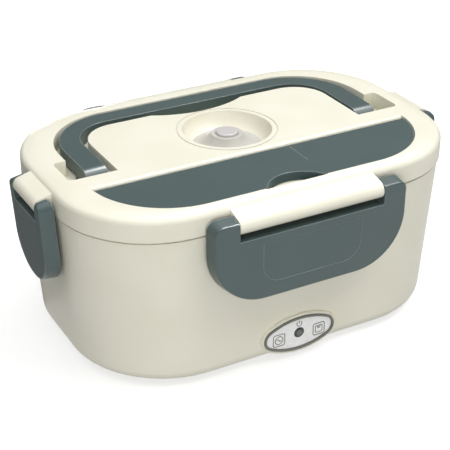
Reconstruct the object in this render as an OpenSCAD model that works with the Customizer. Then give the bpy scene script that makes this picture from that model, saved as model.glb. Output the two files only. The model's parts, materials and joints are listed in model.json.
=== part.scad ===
// Electric lunch box: a drafted plastic base with a heated well, a lift-out food tray with a
// small lidded box in it, and a lid that four latches hold down. The lid carries a folding
// U handle, a steam vent and a covered cutlery well.
// Millimetres. X runs along the length, Y to the back, Z up. The origin is on the surface
// that the box stands on, under the middle of the box.

/* [Lid] */
// Length of the lid
lid_len = 220.4; // [210:0.2:240]
// Depth of the lid, front to back
lid_dep = 143.2; // [138:0.2:160]
// Corner radius of the lid in plan
lid_corner_r = 51.5; // [48:0.5:56]
// Height of the lid from the seam to its flat top
lid_h = 13.3; // [13:0.1:16]
// Wall of the lid
lid_wall = 2.4; // [2:0.1:2.8]
// Thickness of the lid's top
deck_t = 2.4; // [2:0.1:2.8]
// Radius of the lid's outer top edge
rim_r = 3.5; // [2.5:0.1:4.5]
// Radius of the soft crown that runs into the edge
crown_r = 20; // [16:1:26]
// Angle over which the crown falls away
crown_angle = 18; // [12:1:22]
// Depth of the lid's inner pan below the seam
pan_drop = 6.2; // [5.5:0.1:7.5]
// Thickness of the inner pan
pan_t = 1.5; // [1.2:0.1:1.8]

/* [Base] */
// Height of the base's top edge above the surface it stands on
base_top_z = 86.1; // [82:0.1:100]
// Gap between the base's top edge and the lid's skirt
seam_gap = 0.6; // [0.4:0.1:1]
// Height of the shadow groove round the base's top edge
seam_groove_h = 0.6; // [0.3:0.1:1]
// Depth of the shadow groove round the base's top edge
seam_groove_d = 1; // [0.5:0.1:1.2]
// How far the base's top edge sits inside the lid's outline
base_inset = 0.8; // [0.4:0.1:1.2]
// Draft of the two end walls, measured at the bottom
draft_end = 4.6; // [3:0.1:6]
// Draft of the front and back walls, measured at the bottom
draft_side = 0.7; // [0.3:0.1:1.5]
// Extra corner radius at the bottom
draft_corner = 3.4; // [2:0.1:4]
// Radius of the bottom edge
bottom_r = 6.7; // [5:0.1:8]
// Wall of the base
base_wall = 2.4; // [2:0.1:2.8]
// Thickness of the base's floor around the bottom cover
base_floor_t = 4.6; // [4.4:0.1:5.5]
// Thickness of the bottom cover
cover_t = 2.2; // [2:0.1:2.4]
// Margin from the bottom's outline to the bottom cover
cover_margin = 12; // [11:0.5:16]
// Width of the floor's ledge that the bottom cover lies against
cover_ledge = 5; // [4:0.5:6]
// Height of the rubber feet below the base
foot_h = 2.2; // [1.5:0.1:4]
// Radius of the rubber feet
foot_r = 7; // [5:0.5:9]
// Distance of the feet from the middle, along X
foot_x = 70; // [60:1:75]
// Distance of the feet from the middle, along Y
foot_y = 36; // [30:1:40]

/* [Latches] */
// Distance of the front and back hinges outside the lid's wall
long_hinge_out = 6.2; // [5.8:0.1:6.8]
// Distance of the end hinges outside the lid's wall
short_hinge_out = 5.2; // [5:0.1:5.6]
// Distance of the latch hinges below the lid's top
hinge_drop = 9; // [8.5:0.1:9.5]
// Radius of the lid's hinge barrels
barrel_r = 4.4; // [4:0.1:4.6]
// Radius of the latches' hinge stubs
stub_r = 1.7; // [1.4:0.1:2]
// Length of the hinge stubs
stub_len = 5.5; // [4:0.5:7]
// Half width of the front and back latches
long_latch_hw = 55.2; // [50:0.5:58]
// Half width of the two end latches
short_latch_hw = 20.6; // [20:0.2:22]
// Half length of the front and back hinge barrels
long_barrel_hw = 41.4; // [36:0.2:42]
// Half length of the end hinge barrels
short_barrel_hw = 14.7; // [13:0.2:15]
// Reach of the front and back latches below their hinge
long_latch_drop = 42.2; // [40:0.2:44]
// Reach of the end latches below their hinge
short_latch_drop = 45.6; // [42:0.2:47]
// Lower corner radius of the front and back latches
long_latch_r = 28.5; // [20:0.5:32]
// Lower corner radius of the end latches
short_latch_r = 19.5; // [14:0.5:19.5]
// Lean of the end latches, in degrees, along the drafted end walls
short_latch_lean = 3.4; // [2:0.2:3.6]
// Distance from a hinge to its latch's outer face
latch_face = 4.6; // [4.5:0.1:5]
// Distance from a hinge to its latch's inner edge
latch_back = 3.3; // [3:0.1:3.4]
// Height of the latches above their hinge
latch_up = 4.2; // [4:0.1:4.6]
// Radius of the latches' outer edges
latch_edge_r = 1.1; // [0.8:0.1:2]
// Thickness of the latches' face
latch_plate_t = 2.2; // [1.8:0.1:2.4]
// Wall around the latches
latch_wall = 2; // [1.6:0.1:2.4]
// Drop from the hinge to the foot of the notch around the barrel
notch_drop = 7; // [6.6:0.1:8]
// Drop from the hinge to the underside of the catches
catch_drop = 36.5; // [33:0.5:38]
// How far the catches stand out from the wall
catch_out = 2.2; // [1.8:0.1:2.4]
// Half width of the front and back catches
long_catch_hw = 30; // [20:1:34]
// Half width of the end catches
short_catch_hw = 11; // [8:0.5:12]

/* [Handle] */
// Half length of the handle's recess
recess_hx = 92; // [90:0.5:95]
// Back edge of the handle's recess
recess_back = 60; // [57:0.5:61]
// Front edge of the handle's recess
recess_front = -11.5; // [-13:0.5:-11]
// Outer corner radius of the recess
recess_r = 40; // [34:1:42]
// Width of the recess around the arms
recess_w = 19.1; // [18:0.1:20]
// Width of the recess behind the raised middle
recess_back_w = 17.6; // [17:0.1:19]
// Depth of the recess
recess_depth = 9.2; // [9:0.1:9.4]
// Length of the side pockets beyond the recess
pocket_out = 7.3; // [5:0.1:8]
// Back edge of the side pockets
pocket_back = 11; // [9:0.5:13]
// Width of the handle's arms
arm_w = 12.1; // [10:0.1:13]
// Gap between the handle's arms and the raised middle
arm_gap = 2.8; // [2:0.1:3.5]
// Depth of the handle's grip, front to back
grip_w = 10.7; // [9:0.1:12]
// Gap between the grip and the back of the recess
grip_gap = 0.9; // [0.6:0.1:1.5]
// Outer corner radius of the handle
handle_r = 36; // [30:1:38]
// Inner corner radius of the handle
handle_inner_r = 22; // [14:1:26]
// Thickness of the handle
handle_t = 8; // [7:0.1:8.2]
// How far the handle lies below the lid's top
handle_sink = 0.5; // [0.3:0.1:0.8]
// Radius of the round ends about the pivots
pivot_boss_r = 7.5; // [7:0.1:7.6]
// Radius of the pivot stubs on the lid
pivot_r = 2.5; // [2:0.1:3]
// Depth of the pivot bores in the arms
pivot_depth = 9; // [7:0.5:10]
// Radius of the finger scoop behind the raised middle
scoop_r = 58.6; // [45:0.5:70]
// Depth of the finger scoop
scoop_depth = 7.4; // [5:0.1:9]

/* [Cutlery cover] */
// Half length of the cutlery cover
cutlery_hx = 92.8; // [90:0.2:95]
// Front edge of the cutlery cover
cutlery_front = -64.8; // [-66:0.2:-63]
// Back edge of the cutlery cover
cutlery_back = -25.2; // [-27:0.2:-24]
// Front corner radius of the cutlery cover
cutlery_r = 42.8; // [38.5:0.1:39.4]
// Thickness of the cutlery cover
cutlery_t = 2.5; // [2:0.1:2.8]
// How far the cutlery cover lies below the lid's top
cutlery_sink = 0.5; // [0.3:0.1:0.8]
// Gap around the cutlery cover
cutlery_gap = 0.5; // [0.3:0.1:0.8]
// Radius of the round bead along the cover's hinged edge
bead_r = 2; // [1.8:0.1:2.2]
// Radius of the cover's hinge stubs
cover_stub_r = 1.3; // [1:0.1:1.5]
// Radius of the finger dip in the cover's front edge
dip_r = 19; // [14:0.5:22]
// Reach of the finger dip behind the front edge
dip_reach = 9.5; // [7:0.5:11]
// Depth of the finger dip at the front edge
dip_depth = 3; // [2:0.1:3.4]
// Front wall of the cutlery well
well_front = -54; // [-54.5:0.5:-52]
// Half length of the cutlery well
well_hx = 80; // [78:0.5:80]
// Depth of the cutlery well below the lid's top
well_depth = 15; // [14:0.1:15.2]
// Corner radius of the cutlery well
well_r = 12; // [8:0.5:13]

/* [Vent] */
// Distance of the vent behind the middle of the lid
vent_y = 7; // [5:0.5:9]
// Radius of the vent's bowl at the lid's top
bowl_r = 24.4; // [22:0.2:26]
// Radius of the bowl's curved side
bowl_side_r = 10; // [8.5:0.5:10]
// Height of the curved side's centre above the lid's top
bowl_lift = 0.5; // [0:0.1:1]
// Foot radius of the soft vent seat
seat_r = 18.6; // [17:0.2:19.5]
// Radius of the seat's hollow flank
seat_flank_r = 11.4; // [10.8:0.1:12]
// Distance of the seat's top below the lid's top
seat_sink = 2.6; // [2:0.1:3.5]
// Radius of the vent's button
button_r = 6; // [5:0.1:6.4]
// Distance of the button's top below the lid's top
button_sink = 1.3; // [0.8:0.1:1.6]
// Radius of the vent plug's stem
stem_r = 2.6; // [2:0.1:3]
// Radius of the seat's neck through the lid
neck_r = 5; // [4.6:0.1:6]

/* [Well and food containers] */
// Distance from the base's wall outline to the well's wall
well_inset = 6.5; // [6.2:0.1:7.5]
// Wall of the well
liner_wall = 1.8; // [1.5:0.1:2]
// Thickness of the well's rim
liner_rim_t = 2; // [1.6:0.1:2.2]
// Drop from the base's top edge to the well's rim
liner_sink = 1.6; // [1.4:0.1:1.8]
// Height of the well's floor above the surface
well_floor_z = 24; // [23:0.5:30]
// Thickness of the well's floor
well_floor_t = 2.4; // [2.2:0.1:2.8]
// Outer radius of the well's bottom edge
well_edge_r = 4; // [3:0.1:4.5]
// Gap between the well and the food tray
tray_gap = 0.6; // [0.4:0.1:0.9]
// Wall of the food tray
tray_wall = 0.8; // [0.6:0.1:1]
// Radius of the food tray's bottom edge
tray_bottom_r = 5; // [3:0.5:5]
// Left side of the small box
box_left = 30; // [10:1:40]
// Height of the small box
box_h = 42; // [30:1:44]
// Wall of the small box
box_wall = 1.4; // [1.2:0.1:1.8]
// Gap between the small box and the food tray
box_gap = 2.4; // [1.4:0.1:3]
// How far the small box's rim stands out past its wall
box_lip = 0.8; // [0.6:0.1:1.6]
// Left corner radius of the small box
box_r = 12; // [8:0.5:16]
// Length of the small box lid's finger tab
box_tab_len = 18; // [12:1:24]
// Width of the small box lid's finger tab
box_tab_w = 8; // [6:0.5:10]
// Height of the small box's lid above its rim
box_lid_h = 3.2; // [2.8:0.1:4]

/* [Spoon] */
// Gap between the spoon and each end of the cutlery well
spoon_end_gap = 5; // [2:0.5:12]
// Width of the spoon's bowl
spoon_bowl_w = 21; // [18:0.5:21.5]
// Width of the spoon's handle
spoon_handle_w = 9; // [7:0.5:12]
// Thickness of the spoon
spoon_t = 1.2; // [1:0.1:1.6]

/* [Electrics] */
// Half length of the heating plate
plate_hx = 80; // [78:1:84]
// Half depth of the heating plate
plate_hy = 44; // [40:1:46]
// Corner radius of the heating plate
plate_r = 22; // [16:1:26]
// Thickness of the heating plate's rim
plate_rim_t = 1.2; // [1:0.1:1.4]
// Distance that the heating plate reaches below the well's floor
plate_below = 1; // [0.6:0.1:1.4]
// Thickness of the heaters
heater_t = 5; // [4:0.1:5.5]
// Length of the mains heater
ac_heater_len = 50; // [40:1:54]
// Length of the low-voltage heater
dc_heater_len = 34; // [28:1:38]
// Gap between the two heaters
heater_gap = 6; // [4:0.5:8]
// Depth of both heaters
heater_w = 28; // [22:1:32]
// Thickness of the steel clamp strip
clamp_t = 1.2; // [1:0.1:1.4]
// Width of the clamp strip
clamp_w = 14; // [12:1:18]
// Length of the clamp strip's feet
clamp_leg = 12; // [10:0.5:14]
// Radius of the clamp's screws
clamp_screw_r = 1.25; // [1:0.05:1.5]
// Radius of the clamp screws' heads
clamp_head_r = 2.4; // [2:0.1:2.8]
// Height of the clamp screws' heads
clamp_head_h = 1.6; // [1.2:0.1:2]
// Depth of the clamp screws in the heating plate
clamp_bite = 2.2; // [1.6:0.1:2.3]
// Radius of the thermostat's cap
thermostat_r = 8; // [6:0.5:9]
// Height of the thermostat's cap
thermostat_h = 5; // [4:0.5:6]
// Radius of the thermostat's body below the cap
thermostat_neck_r = 5.5; // [4.5:0.5:6]
// Height of the thermostat's body below the cap
thermostat_neck_h = 3; // [2:0.5:4]
// Spacing of the thermostat's two tabs
tab_pitch = 9; // [7:0.5:9]
// Width of the thermostat's tabs
tab_w = 4; // [3:0.5:4]
// Thickness of the thermostat's tabs
tab_t = 0.8; // [0.6:0.1:1]
// Radius of the thermal fuse
fuse_r = 2; // [1.6:0.1:2.4]
// Length of the thermal fuse's body
fuse_len = 12; // [10:1:16]
// Length of the thermal fuse's leads
fuse_lead_len = 10; // [6:1:14]
// Radius of the thermal fuse's leads
fuse_lead_r = 0.5; // [0.4:0.05:0.6]
// Width of the saddle that holds the fuse
saddle_w = 3; // [2:0.5:6]
// Thickness of the saddle
saddle_t = 0.7; // [0.5:0.1:1]
// Height of the power inlets above the surface
inlet_z = 14.5; // [14:0.1:14.8]
// Mains inlet, distance left of the middle
ac_inlet_x = 10; // [9:0.5:14]
// Low-voltage inlet, distance right of the middle
dc_inlet_x = 16; // [14:0.5:20]
// Radius of the mains inlet's two round lobes
lobe_r = 4.3; // [4.2:0.1:4.4]
// Spacing of the mains inlet's two pins
pin_pitch = 8.6; // [8.4:0.1:8.8]
// Radius of the mains pins
ac_pin_r = 1.2; // [1.1:0.05:1.25]
// Depth of the mains inlet's socket
socket_depth = 12; // [10:0.5:13]
// Radius of the low-voltage inlet's bore
dc_bore_r = 3.2; // [2.8:0.1:3.4]
// Radius of the low-voltage inlet's pin
dc_pin_r = 1.05; // [0.9:0.05:1.2]

/* [Panel] */
// Height of the panel's middle above the surface
panel_z = 14; // [13.6:0.1:15]
// Half length of the panel's ring
panel_a = 21.3; // [19:0.1:24]
// Half height of the panel's ring
panel_b = 10; // [9:0.1:10.2]
// End radius of the panel's outline
panel_end_r = 6.4; // [5:0.1:7]
// Width of the panel's ring
ring_w = 1.3; // [1:0.1:1.8]
// Margin of the boss around the ring
boss_margin = 1.2; // [0.8:0.1:1.4]
// How far the boss's face stands in front of the base's top edge
boss_out = 1.1; // [0.8:0.1:1.6]
// How far the ring stands out from the boss
ring_out = 0.7; // [0.4:0.1:1]
// Length of the indicator's board
board_w = 26; // [22:1:30]
// Height of the indicator's board
board_h = 11; // [9:0.5:12]
// Thickness of the indicator's board
board_t = 1.6; // [1.2:0.1:2]
// Gap between the boss and the indicator's board
board_gap = 1.4; // [1:0.1:2]
// Distance of the board's two pegs from the middle
peg_x = 9; // [8:0.5:10]
// Radius of the board's pegs
peg_r = 1.5; // [1.2:0.1:2]
// Radius of the indicator lens
led_r = 3; // [2.4:0.1:3.4]

/* [Fits] */
// Running clearance of pins in their bores
run_fit = 0.05; // [0.03:0.01:0.1]
// Clearance between parts that only lie together
lie_gap = 0.3; // [0.2:0.05:0.4]

/* [Hidden] */
$fn = 96;
cream = "#e4e0d0";
grey = "#566361";
silicone = "#c9c9c4";
white = "#ededea";
steel = "#b9bcc0";
// Overlap that joins solids of one piece
join = 0.5;
// Thickness of the slices that a hull is stretched over
slice = 0.02;

// Lid, heights and half sizes
lid_hx = lid_len / 2;
lid_hy = lid_dep / 2;
seam_z = base_top_z + seam_gap;
deck_z = seam_z + lid_h;
pan_z = seam_z - pan_drop;
pan_inset = base_inset + well_inset + liner_wall + tray_gap + tray_wall + 1.3;
pan_flange_z = seam_z + 0.9;
pan_flange_t = 1.4;
pan_top_z = pan_flange_z + pan_flange_t;
cup_t = 1.6;

// Base, heights and half sizes
base_hx = lid_hx - base_inset;
base_hy = lid_hy - base_inset;
base_r = lid_corner_r - base_inset;
base_z = foot_h;
liner_rim_z = base_top_z - liner_sink;
ledge_z = liner_rim_z - liner_rim_t;

// Latches
pivot_z = deck_z - hinge_drop;
long_pivot = lid_hy + long_hinge_out;
short_pivot = lid_hx + short_hinge_out;
catch_z = pivot_z - catch_drop;
catch_h = 3.5;
ear_gap = 0.4;
inset_t = 0.2;
inset_share = 0.69;
inset_margin = 8.6;
inset_r = 10;

// Handle
island_hx = recess_hx - recess_w;
island_back = recess_back - recess_back_w;
island_r = recess_r - recess_w - 1.4;
handle_top = deck_z - handle_sink;
handle_z = handle_top - handle_t;
handle_pivot_z = handle_top - pivot_boss_r;
arm_in = island_hx + arm_gap;
arm_out = arm_in + arm_w;
grip_back = recess_back - grip_gap;
grip_front = grip_back - grip_w;
recess_floor_z = deck_z - recess_depth;
slot_floor_z = handle_pivot_z - pivot_boss_r - lie_gap;

// Cutlery cover
cutlery_top = deck_z - cutlery_sink;
cutlery_z = cutlery_top - cutlery_t;
bead_y = cutlery_back - bead_r;
bead_z = cutlery_top - bead_r;
well_back = bead_y - bead_r - 0.6;
well_z = deck_z - well_depth;

// Vent
bowl_floor_r = bowl_r - bowl_side_r;
bowl_centre_z = deck_z + bowl_lift;
bowl_z = bowl_centre_z - bowl_side_r;
seat_top_z = deck_z - seat_sink;
button_z = deck_z - button_sink;
crease_r = bowl_r + 2.6;
crease_w = 0.6;
crease_t = 0.3;
cover_crease_x = 18;
cover_crease_w = 0.4;
cover_crease_len = 17.5;

// Food containers
tray_inset = well_inset + liner_wall + tray_gap;
tray_z = well_floor_z + lie_gap;
tray_rim_z = liner_rim_z + lie_gap;
tray_hx = base_hx - tray_inset;
tray_hy = base_hy - tray_inset;
box_z = tray_z + tray_wall + lie_gap;
box_rim_z = box_z + box_h;

// Electrics
plate_z = well_floor_z - well_floor_t - plate_below;
heater_z = plate_z - heater_t;
boss_y = base_hy + boss_out;

// Rounded rectangle of half sizes hx and hy
module rrect(hx, hy, r) {
    square([2 * (hx - r), 2 * hy], center = true);
    square([2 * hx, 2 * (hy - r)], center = true);
    for (sx = [-1, 1], sy = [-1, 1])
        translate([sx * (hx - r), sy * (hy - r)])
            circle(r);
}

// Rectangle of half width hx from y0 up to y1, with its two upper corners rounded
module arch(hx, y1, y0, r) {
    intersection() {
        translate([-hx, y0])
            square([2 * hx, y1 - y0]);
        union() {
            translate([-hx, y0])
                square([2 * hx, y1 - r - y0]);
            translate([-hx + r, y0])
                square([2 * (hx - r), y1 - y0]);
            for (s = [-1, 1])
                translate([s * (hx - r), y1 - r])
                    circle(r);
        }
    }
}

// Prism of the 2D children between two heights
module prism(z0, z1) {
    translate([0, 0, z0])
        linear_extrude(z1 - z0)
            children();
}

// Outlines of the lid and the base, moved inwards by d
module lid_plan(d) {
    rrect(lid_hx - d, lid_hy - d, lid_corner_r - d);
}
module base_plan(d) {
    rrect(base_hx - d, base_hy - d, base_r - d);
}

// Ring with the outline of the base between two insets
module base_ring(d_out, d_in, z0, z1) {
    prism(z0, z1)
        difference() {
            base_plan(d_out);
            base_plan(d_in);
        }
}

// Ring with the outline of the lid between two insets
module lid_ring(d_out, d_in, z0, z1) {
    prism(z0, z1)
        difference() {
            lid_plan(d_out);
            lid_plan(d_in);
        }
}

// Sweeps a 2D profile round a rounded rectangle. In the profile, x is the distance from the
// centre of a corner and y is the height.
module sweep_round(hx, hy, r) {
    for (k = [0, 1]) rotate([0, 0, 180 * k]) {
        translate([hx - r, hy - r, 0])
            rotate_extrude(angle = 90)
                children();
        translate([r - hx, hy - r, 0])
            rotate([0, 0, 90])
                rotate_extrude(angle = 90)
                    children();
        translate([r - hx, hy - r, 0])
            rotate([90, 0, 90])
                linear_extrude(2 * (hx - r))
                    children();
        translate([hx - r, hy - r, 0])
            rotate([90, 0, 0])
                linear_extrude(2 * (hy - r))
                    children();
    }
}

// Profile of an upright wall with a round bottom edge, with the wall at x = r
module wall_profile(r, z0, z1, edge) {
    difference() {
        translate([0, z0])
            square([r, z1 - z0]);
        translate([r - edge, z0])
            difference() {
                translate([0, -join])
                    square([edge + join, edge + join]);
                translate([0, edge])
                    circle(edge);
            }
    }
}

// Upright block with round corners and a round bottom edge
module round_block(hx, hy, r, z0, z1, edge) {
    sweep_round(hx, hy, r)
        wall_profile(r, z0, z1, edge);
    prism(z0, z1)
        square([2 * (hx - r), 2 * (hy - r)], center = true);
}

// Such a block with the outline of the base, moved inwards by d
module base_block(d, z0, z1, edge) {
    round_block(base_hx - d, base_hy - d, base_r - d, z0, z1, edge);
}

// Oval of half sizes a and b from four arcs, with end radius e
module oval(a, b, e) {
    side_r = (pow(a - e, 2) + b * b - e * e) / (2 * (b - e));
    touch_x = (a - e) * side_r / (side_r - e);
    intersection() {
        translate([0, b - side_r])
            circle(side_r);
        translate([0, side_r - b])
            circle(side_r);
        square([2 * touch_x, 2 * b], center = true);
    }
    for (s = [-1, 1])
        translate([s * (a - e), 0])
            circle(e);
}

// Turns a shape built against the front (facing -Y) to one of the four sides
module to_side(turn, pivot) {
    rotate([0, 0, turn])
        translate([0, -pivot, pivot_z])
            children();
}

// ---- Base ----

// Share of the draft that has been taken up at height z
function draft_at(z) = (base_top_z - z) / (base_top_z - base_z);
function end_wall_at(z) = base_hx - draft_end * draft_at(z);
function side_wall_at(z) = base_hy - draft_side * draft_at(z);

// Slice of the base's drafted outline at height z, moved inwards by d
module base_slice(z, d) {
    r = base_r + draft_corner * draft_at(z);
    translate([0, 0, z])
        linear_extrude(slice)
            rrect(end_wall_at(z) - d, side_wall_at(z) - d, r - d);
}

// Drafted outer form with its rounded bottom edge
module base_form() {
    hull() {
        base_slice(base_top_z - slice, 0);
        for (a = [0 : 15 : 90])
            base_slice(base_z + bottom_r * (1 - sin(a)), bottom_r * (1 - cos(a)));
    }
}

// Drafted hollow of the base
module base_hollow() {
    floor_z = base_z + base_floor_t;
    inner_r = bottom_r - base_wall;
    hull() {
        base_slice(base_top_z + join, base_wall);
        for (a = [0 : 30 : 90])
            base_slice(floor_z + inner_r * (1 - sin(a)), base_wall + inner_r * (1 - cos(a)));
    }
}

module bottom_plan(d) {
    hx = end_wall_at(base_z) - cover_margin - d;
    hy = side_wall_at(base_z) - cover_margin - d;
    rrect(hx, hy, base_r + draft_corner - cover_margin - d);
}

cover_screw_x = end_wall_at(base_z) - cover_margin - cover_ledge - 2;
cover_screw_y = 20;
screw_r = 1.5;
screw_head_r = 2.8;
screw_head_h = 1.4;
screw_len = 8;
screw_boss_r = 4;

module at_cover_screws() {
    for (sx = [-1, 1], sy = [-1, 1])
        translate([sx * cover_screw_x, sy * cover_screw_y, base_z])
            children();
}

// Catch on the base's wall: flat below for the latch's lip, sloped above
module catch_bar(half, wall) {
    rotate([90, 0, 90])
        translate([0, 0, -half])
            linear_extrude(2 * half)
                polygon([[-wall - catch_out, catch_z], [-wall - catch_out, catch_z + catch_h - catch_out],
                    [-wall, catch_z + catch_h], [-wall + 1, catch_z + catch_h], [-wall + 1, catch_z]]);
}

// Solid of the front boss, with its panel outline grown by d
module panel_prism(d, y0, y1) {
    translate([0, y1, panel_z])
        rotate([90, 0, 0])
            linear_extrude(y1 - y0)
                oval(panel_a + d, panel_b + d, panel_end_r + d);
}

boss_back_y = side_wall_at(panel_z) - base_wall - 1.2;
bezel_depth = 1.8;
inlet_boss_hx = 30;
inlet_boss_hz = 8.6;
inlet_boss_r = 5;
ac_body_hx = 9.8;
ac_body_hz = 6;
ac_body_r = 3;
ac_body_len = 20;
ac_flange = 1.6;
dc_body_r = 5;
dc_flange_r = 6.8;
inlet_flange_t = 1.5;

// Rounded slab on the back wall, lying in XZ between two distances from the middle
module back_slab(x, hx, hz, r, y0, y1) {
    translate([x, y1, inlet_z])
        rotate([90, 0, 0])
            linear_extrude(y1 - y0)
                rrect(hx, hz, r);
}

module back_rod(x, r, y0, y1) {
    translate([x, y1, inlet_z])
        rotate([90, 0, 0])
            cylinder(h = y1 - y0, r = r);
}

module base_shell() color(cream) {
    difference() {
        union() {
            difference() {
                base_form();
                base_hollow();
            }
            base_ring(base_wall - 1, base_wall + 3, ledge_z - 3, ledge_z);
            catch_bar(long_catch_hw, side_wall_at(catch_z));
            rotate([0, 0, 180])
                catch_bar(long_catch_hw, side_wall_at(catch_z));
            for (turn = [90, -90])
                rotate([0, 0, turn])
                    catch_bar(short_catch_hw, end_wall_at(catch_z));
            panel_prism(boss_margin, -boss_y, -boss_back_y);
            back_slab(0, inlet_boss_hx, inlet_boss_hz, inlet_boss_r, boss_back_y, boss_y);
            at_cover_screws()
                translate([0, 0, cover_t])
                    cylinder(h = screw_len + 1, r = screw_boss_r);
        }
        base_ring(-join, seam_groove_d, base_top_z - seam_groove_h, base_top_z + join);
        prism(base_z - join, base_z + cover_t)
            bottom_plan(0);
        difference() {
            prism(base_z, base_z + base_floor_t + join)
                bottom_plan(cover_ledge);
            at_cover_screws()
                cylinder(h = base_floor_t + 2 * join, r = screw_boss_r);
        }
        at_cover_screws()
            cylinder(h = screw_len + 0.4, r = screw_r + run_fit);
        panel_prism(0, -boss_y - join, -boss_y + bezel_depth);
        translate([0, 0, panel_z])
            rotate([90, 0, 0])
                cylinder(h = boss_y, r = led_r + lie_gap);
        back_slab(-ac_inlet_x, ac_body_hx, ac_body_hz, ac_body_r, 0, boss_y + join);
        back_rod(dc_inlet_x, dc_body_r, 0, boss_y + join);
    }
}

module bottom_cover() color(cream) {
    difference() {
        prism(base_z, base_z + cover_t)
            bottom_plan(lie_gap);
        at_cover_screws()
            translate([0, 0, -join])
                cylinder(h = cover_t + 2 * join, r = screw_r + run_fit);
        at_cover_screws()
            translate([0, 0, -join])
                cylinder(h = screw_head_h + join, r = screw_head_r + lie_gap);
        for (sx = [-1, 1], sy = [-1, 1])
            translate([sx * foot_x, sy * foot_y, base_z - join])
                cylinder(h = 0.6 + join, r = foot_r);
    }
}

module cover_screws() color(steel) {
    at_cover_screws() {
        difference() {
            cylinder(h = screw_head_h, r = screw_head_r);
            for (turn = [0, 90])
                rotate([0, 0, turn])
                    cube([3.4, 0.7, 1.4], center = true);
        }
        cylinder(h = screw_len, r = screw_r);
    }
}

module rubber_feet() color("#3c3f3e") {
    for (sx = [-1, 1], sy = [-1, 1])
        translate([sx * foot_x, sy * foot_y, 0])
            rotate_extrude()
                difference() {
                    square([foot_r, base_z + 0.6]);
                    translate([foot_r - 1, 0])
                        difference() {
                            square([1 + join, 1]);
                            translate([0, 1])
                                circle(1);
                        }
                }
}

module inner_liner() color(white) {
    difference() {
        union() {
            base_ring(base_wall + 2 * lie_gap, well_inset + join, ledge_z, liner_rim_z);
            base_block(well_inset, well_floor_z - well_floor_t, liner_rim_z, well_edge_r);
        }
        base_block(well_inset + liner_wall, well_floor_z, liner_rim_z + join,
            well_edge_r - liner_wall);
        prism(well_floor_z - plate_rim_t, well_floor_z + join)
            rrect(plate_hx + lie_gap, plate_hy + lie_gap, plate_r + lie_gap);
        prism(well_floor_z - well_floor_t - join, well_floor_z)
            rrect(plate_hx - 4, plate_hy - 4, plate_r - 4);
    }
}

// ---- Electrics ----

clamp_x = plate_hx - 12;

module heating_plate() color(steel) {
    difference() {
        union() {
            prism(well_floor_z - plate_rim_t, well_floor_z)
                rrect(plate_hx, plate_hy, plate_r);
            prism(plate_z, well_floor_z)
                rrect(plate_hx - 4 - lie_gap, plate_hy - 4 - lie_gap, plate_r - 4 - lie_gap);
        }
        for (s = [-1, 1])
            translate([s * clamp_x, 0, plate_z - join])
                cylinder(h = clamp_bite + 0.2 + join, r = clamp_screw_r + run_fit);
    }
}

ac_heater_x = -(dc_heater_len + heater_gap) / 2;
dc_heater_x = (ac_heater_len + heater_gap) / 2;

// Heater: an aluminium case with a ceramic core that shows at both ends
module heater(x, len) {
    difference() {
        translate([x - len / 2, -heater_w / 2, heater_z])
            cube([len, heater_w, heater_t]);
        for (s = [-1, 1])
            translate([x + s * len / 2, 0, heater_z + heater_t / 2])
                cube([3, heater_w - 6, heater_t - 2.4], center = true);
    }
}

module ac_heater() color("#c9a27a") heater(ac_heater_x, ac_heater_len);
module dc_heater() color("#b98f66") heater(dc_heater_x, dc_heater_len);

module heater_clamp() color(steel) {
    difference() {
        union() {
            translate([-clamp_x + clamp_leg / 2 - clamp_t, -clamp_w / 2, heater_z - clamp_t])
                cube([2 * clamp_x - clamp_leg + 2 * clamp_t, clamp_w, clamp_t]);
            for (s = [0, 1]) rotate([0, 0, 180 * s]) {
                translate([clamp_x - clamp_leg / 2, -clamp_w / 2, heater_z - clamp_t])
                    cube([clamp_t, clamp_w, heater_t + clamp_t]);
                translate([clamp_x - clamp_leg / 2, -clamp_w / 2, plate_z - clamp_t])
                    cube([clamp_leg, clamp_w, clamp_t]);
            }
        }
        for (s = [-1, 1])
            translate([s * clamp_x, 0, plate_z - clamp_t - join])
                cylinder(h = clamp_t + 2 * join, r = clamp_screw_r + run_fit);
    }
}

module clamp_screws() color(steel) {
    for (s = [-1, 1])
        translate([s * clamp_x, 0, plate_z - clamp_t]) {
            translate([0, 0, -clamp_head_h])
                cylinder(h = clamp_head_h, r = clamp_head_r);
            cylinder(h = clamp_t + clamp_bite, r = clamp_screw_r);
        }
}

thermostat_x = plate_hx - 28;
thermostat_y = plate_hy - 16;

module thermostat() color("#6b5a48") {
    cap_z = plate_z - thermostat_h;
    neck_z = cap_z - thermostat_neck_h;
    translate([thermostat_x, -thermostat_y, 0]) {
        translate([0, 0, cap_z])
            cylinder(h = thermostat_h, r = thermostat_r);
        translate([0, 0, neck_z])
            cylinder(h = thermostat_neck_h + join, r = thermostat_neck_r);
        for (s = [-1, 1])
            translate([s * tab_pitch / 2 - tab_w / 2, -tab_t / 2, neck_z - tab_w + join])
                cube([tab_w, tab_t, tab_w]);
    }
}

module thermal_fuse() color("#d8d3c4") {
    saddle_d = 2 * fuse_r + saddle_t;
    translate([0, thermostat_y, plate_z - fuse_r - lie_gap])
        rotate([0, 90, 0]) {
            cylinder(h = fuse_len, r = fuse_r, center = true);
            cylinder(h = fuse_len + 2 * fuse_lead_len, r = fuse_lead_r, center = true);
        }
    translate([0, thermostat_y, plate_z - saddle_d / 2])
        difference() {
            cube([saddle_w, saddle_d + 2 * saddle_t, saddle_d], center = true);
            translate([0, 0, saddle_t])
                cube([saddle_w + 2 * join, 2 * fuse_r - saddle_t, saddle_d], center = true);
        }
}

module socket_lobes() {
    square([pin_pitch, 2 * lobe_r], center = true);
    for (s = [-1, 1])
        translate([s * pin_pitch / 2, 0])
            circle(lobe_r);
}

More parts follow.
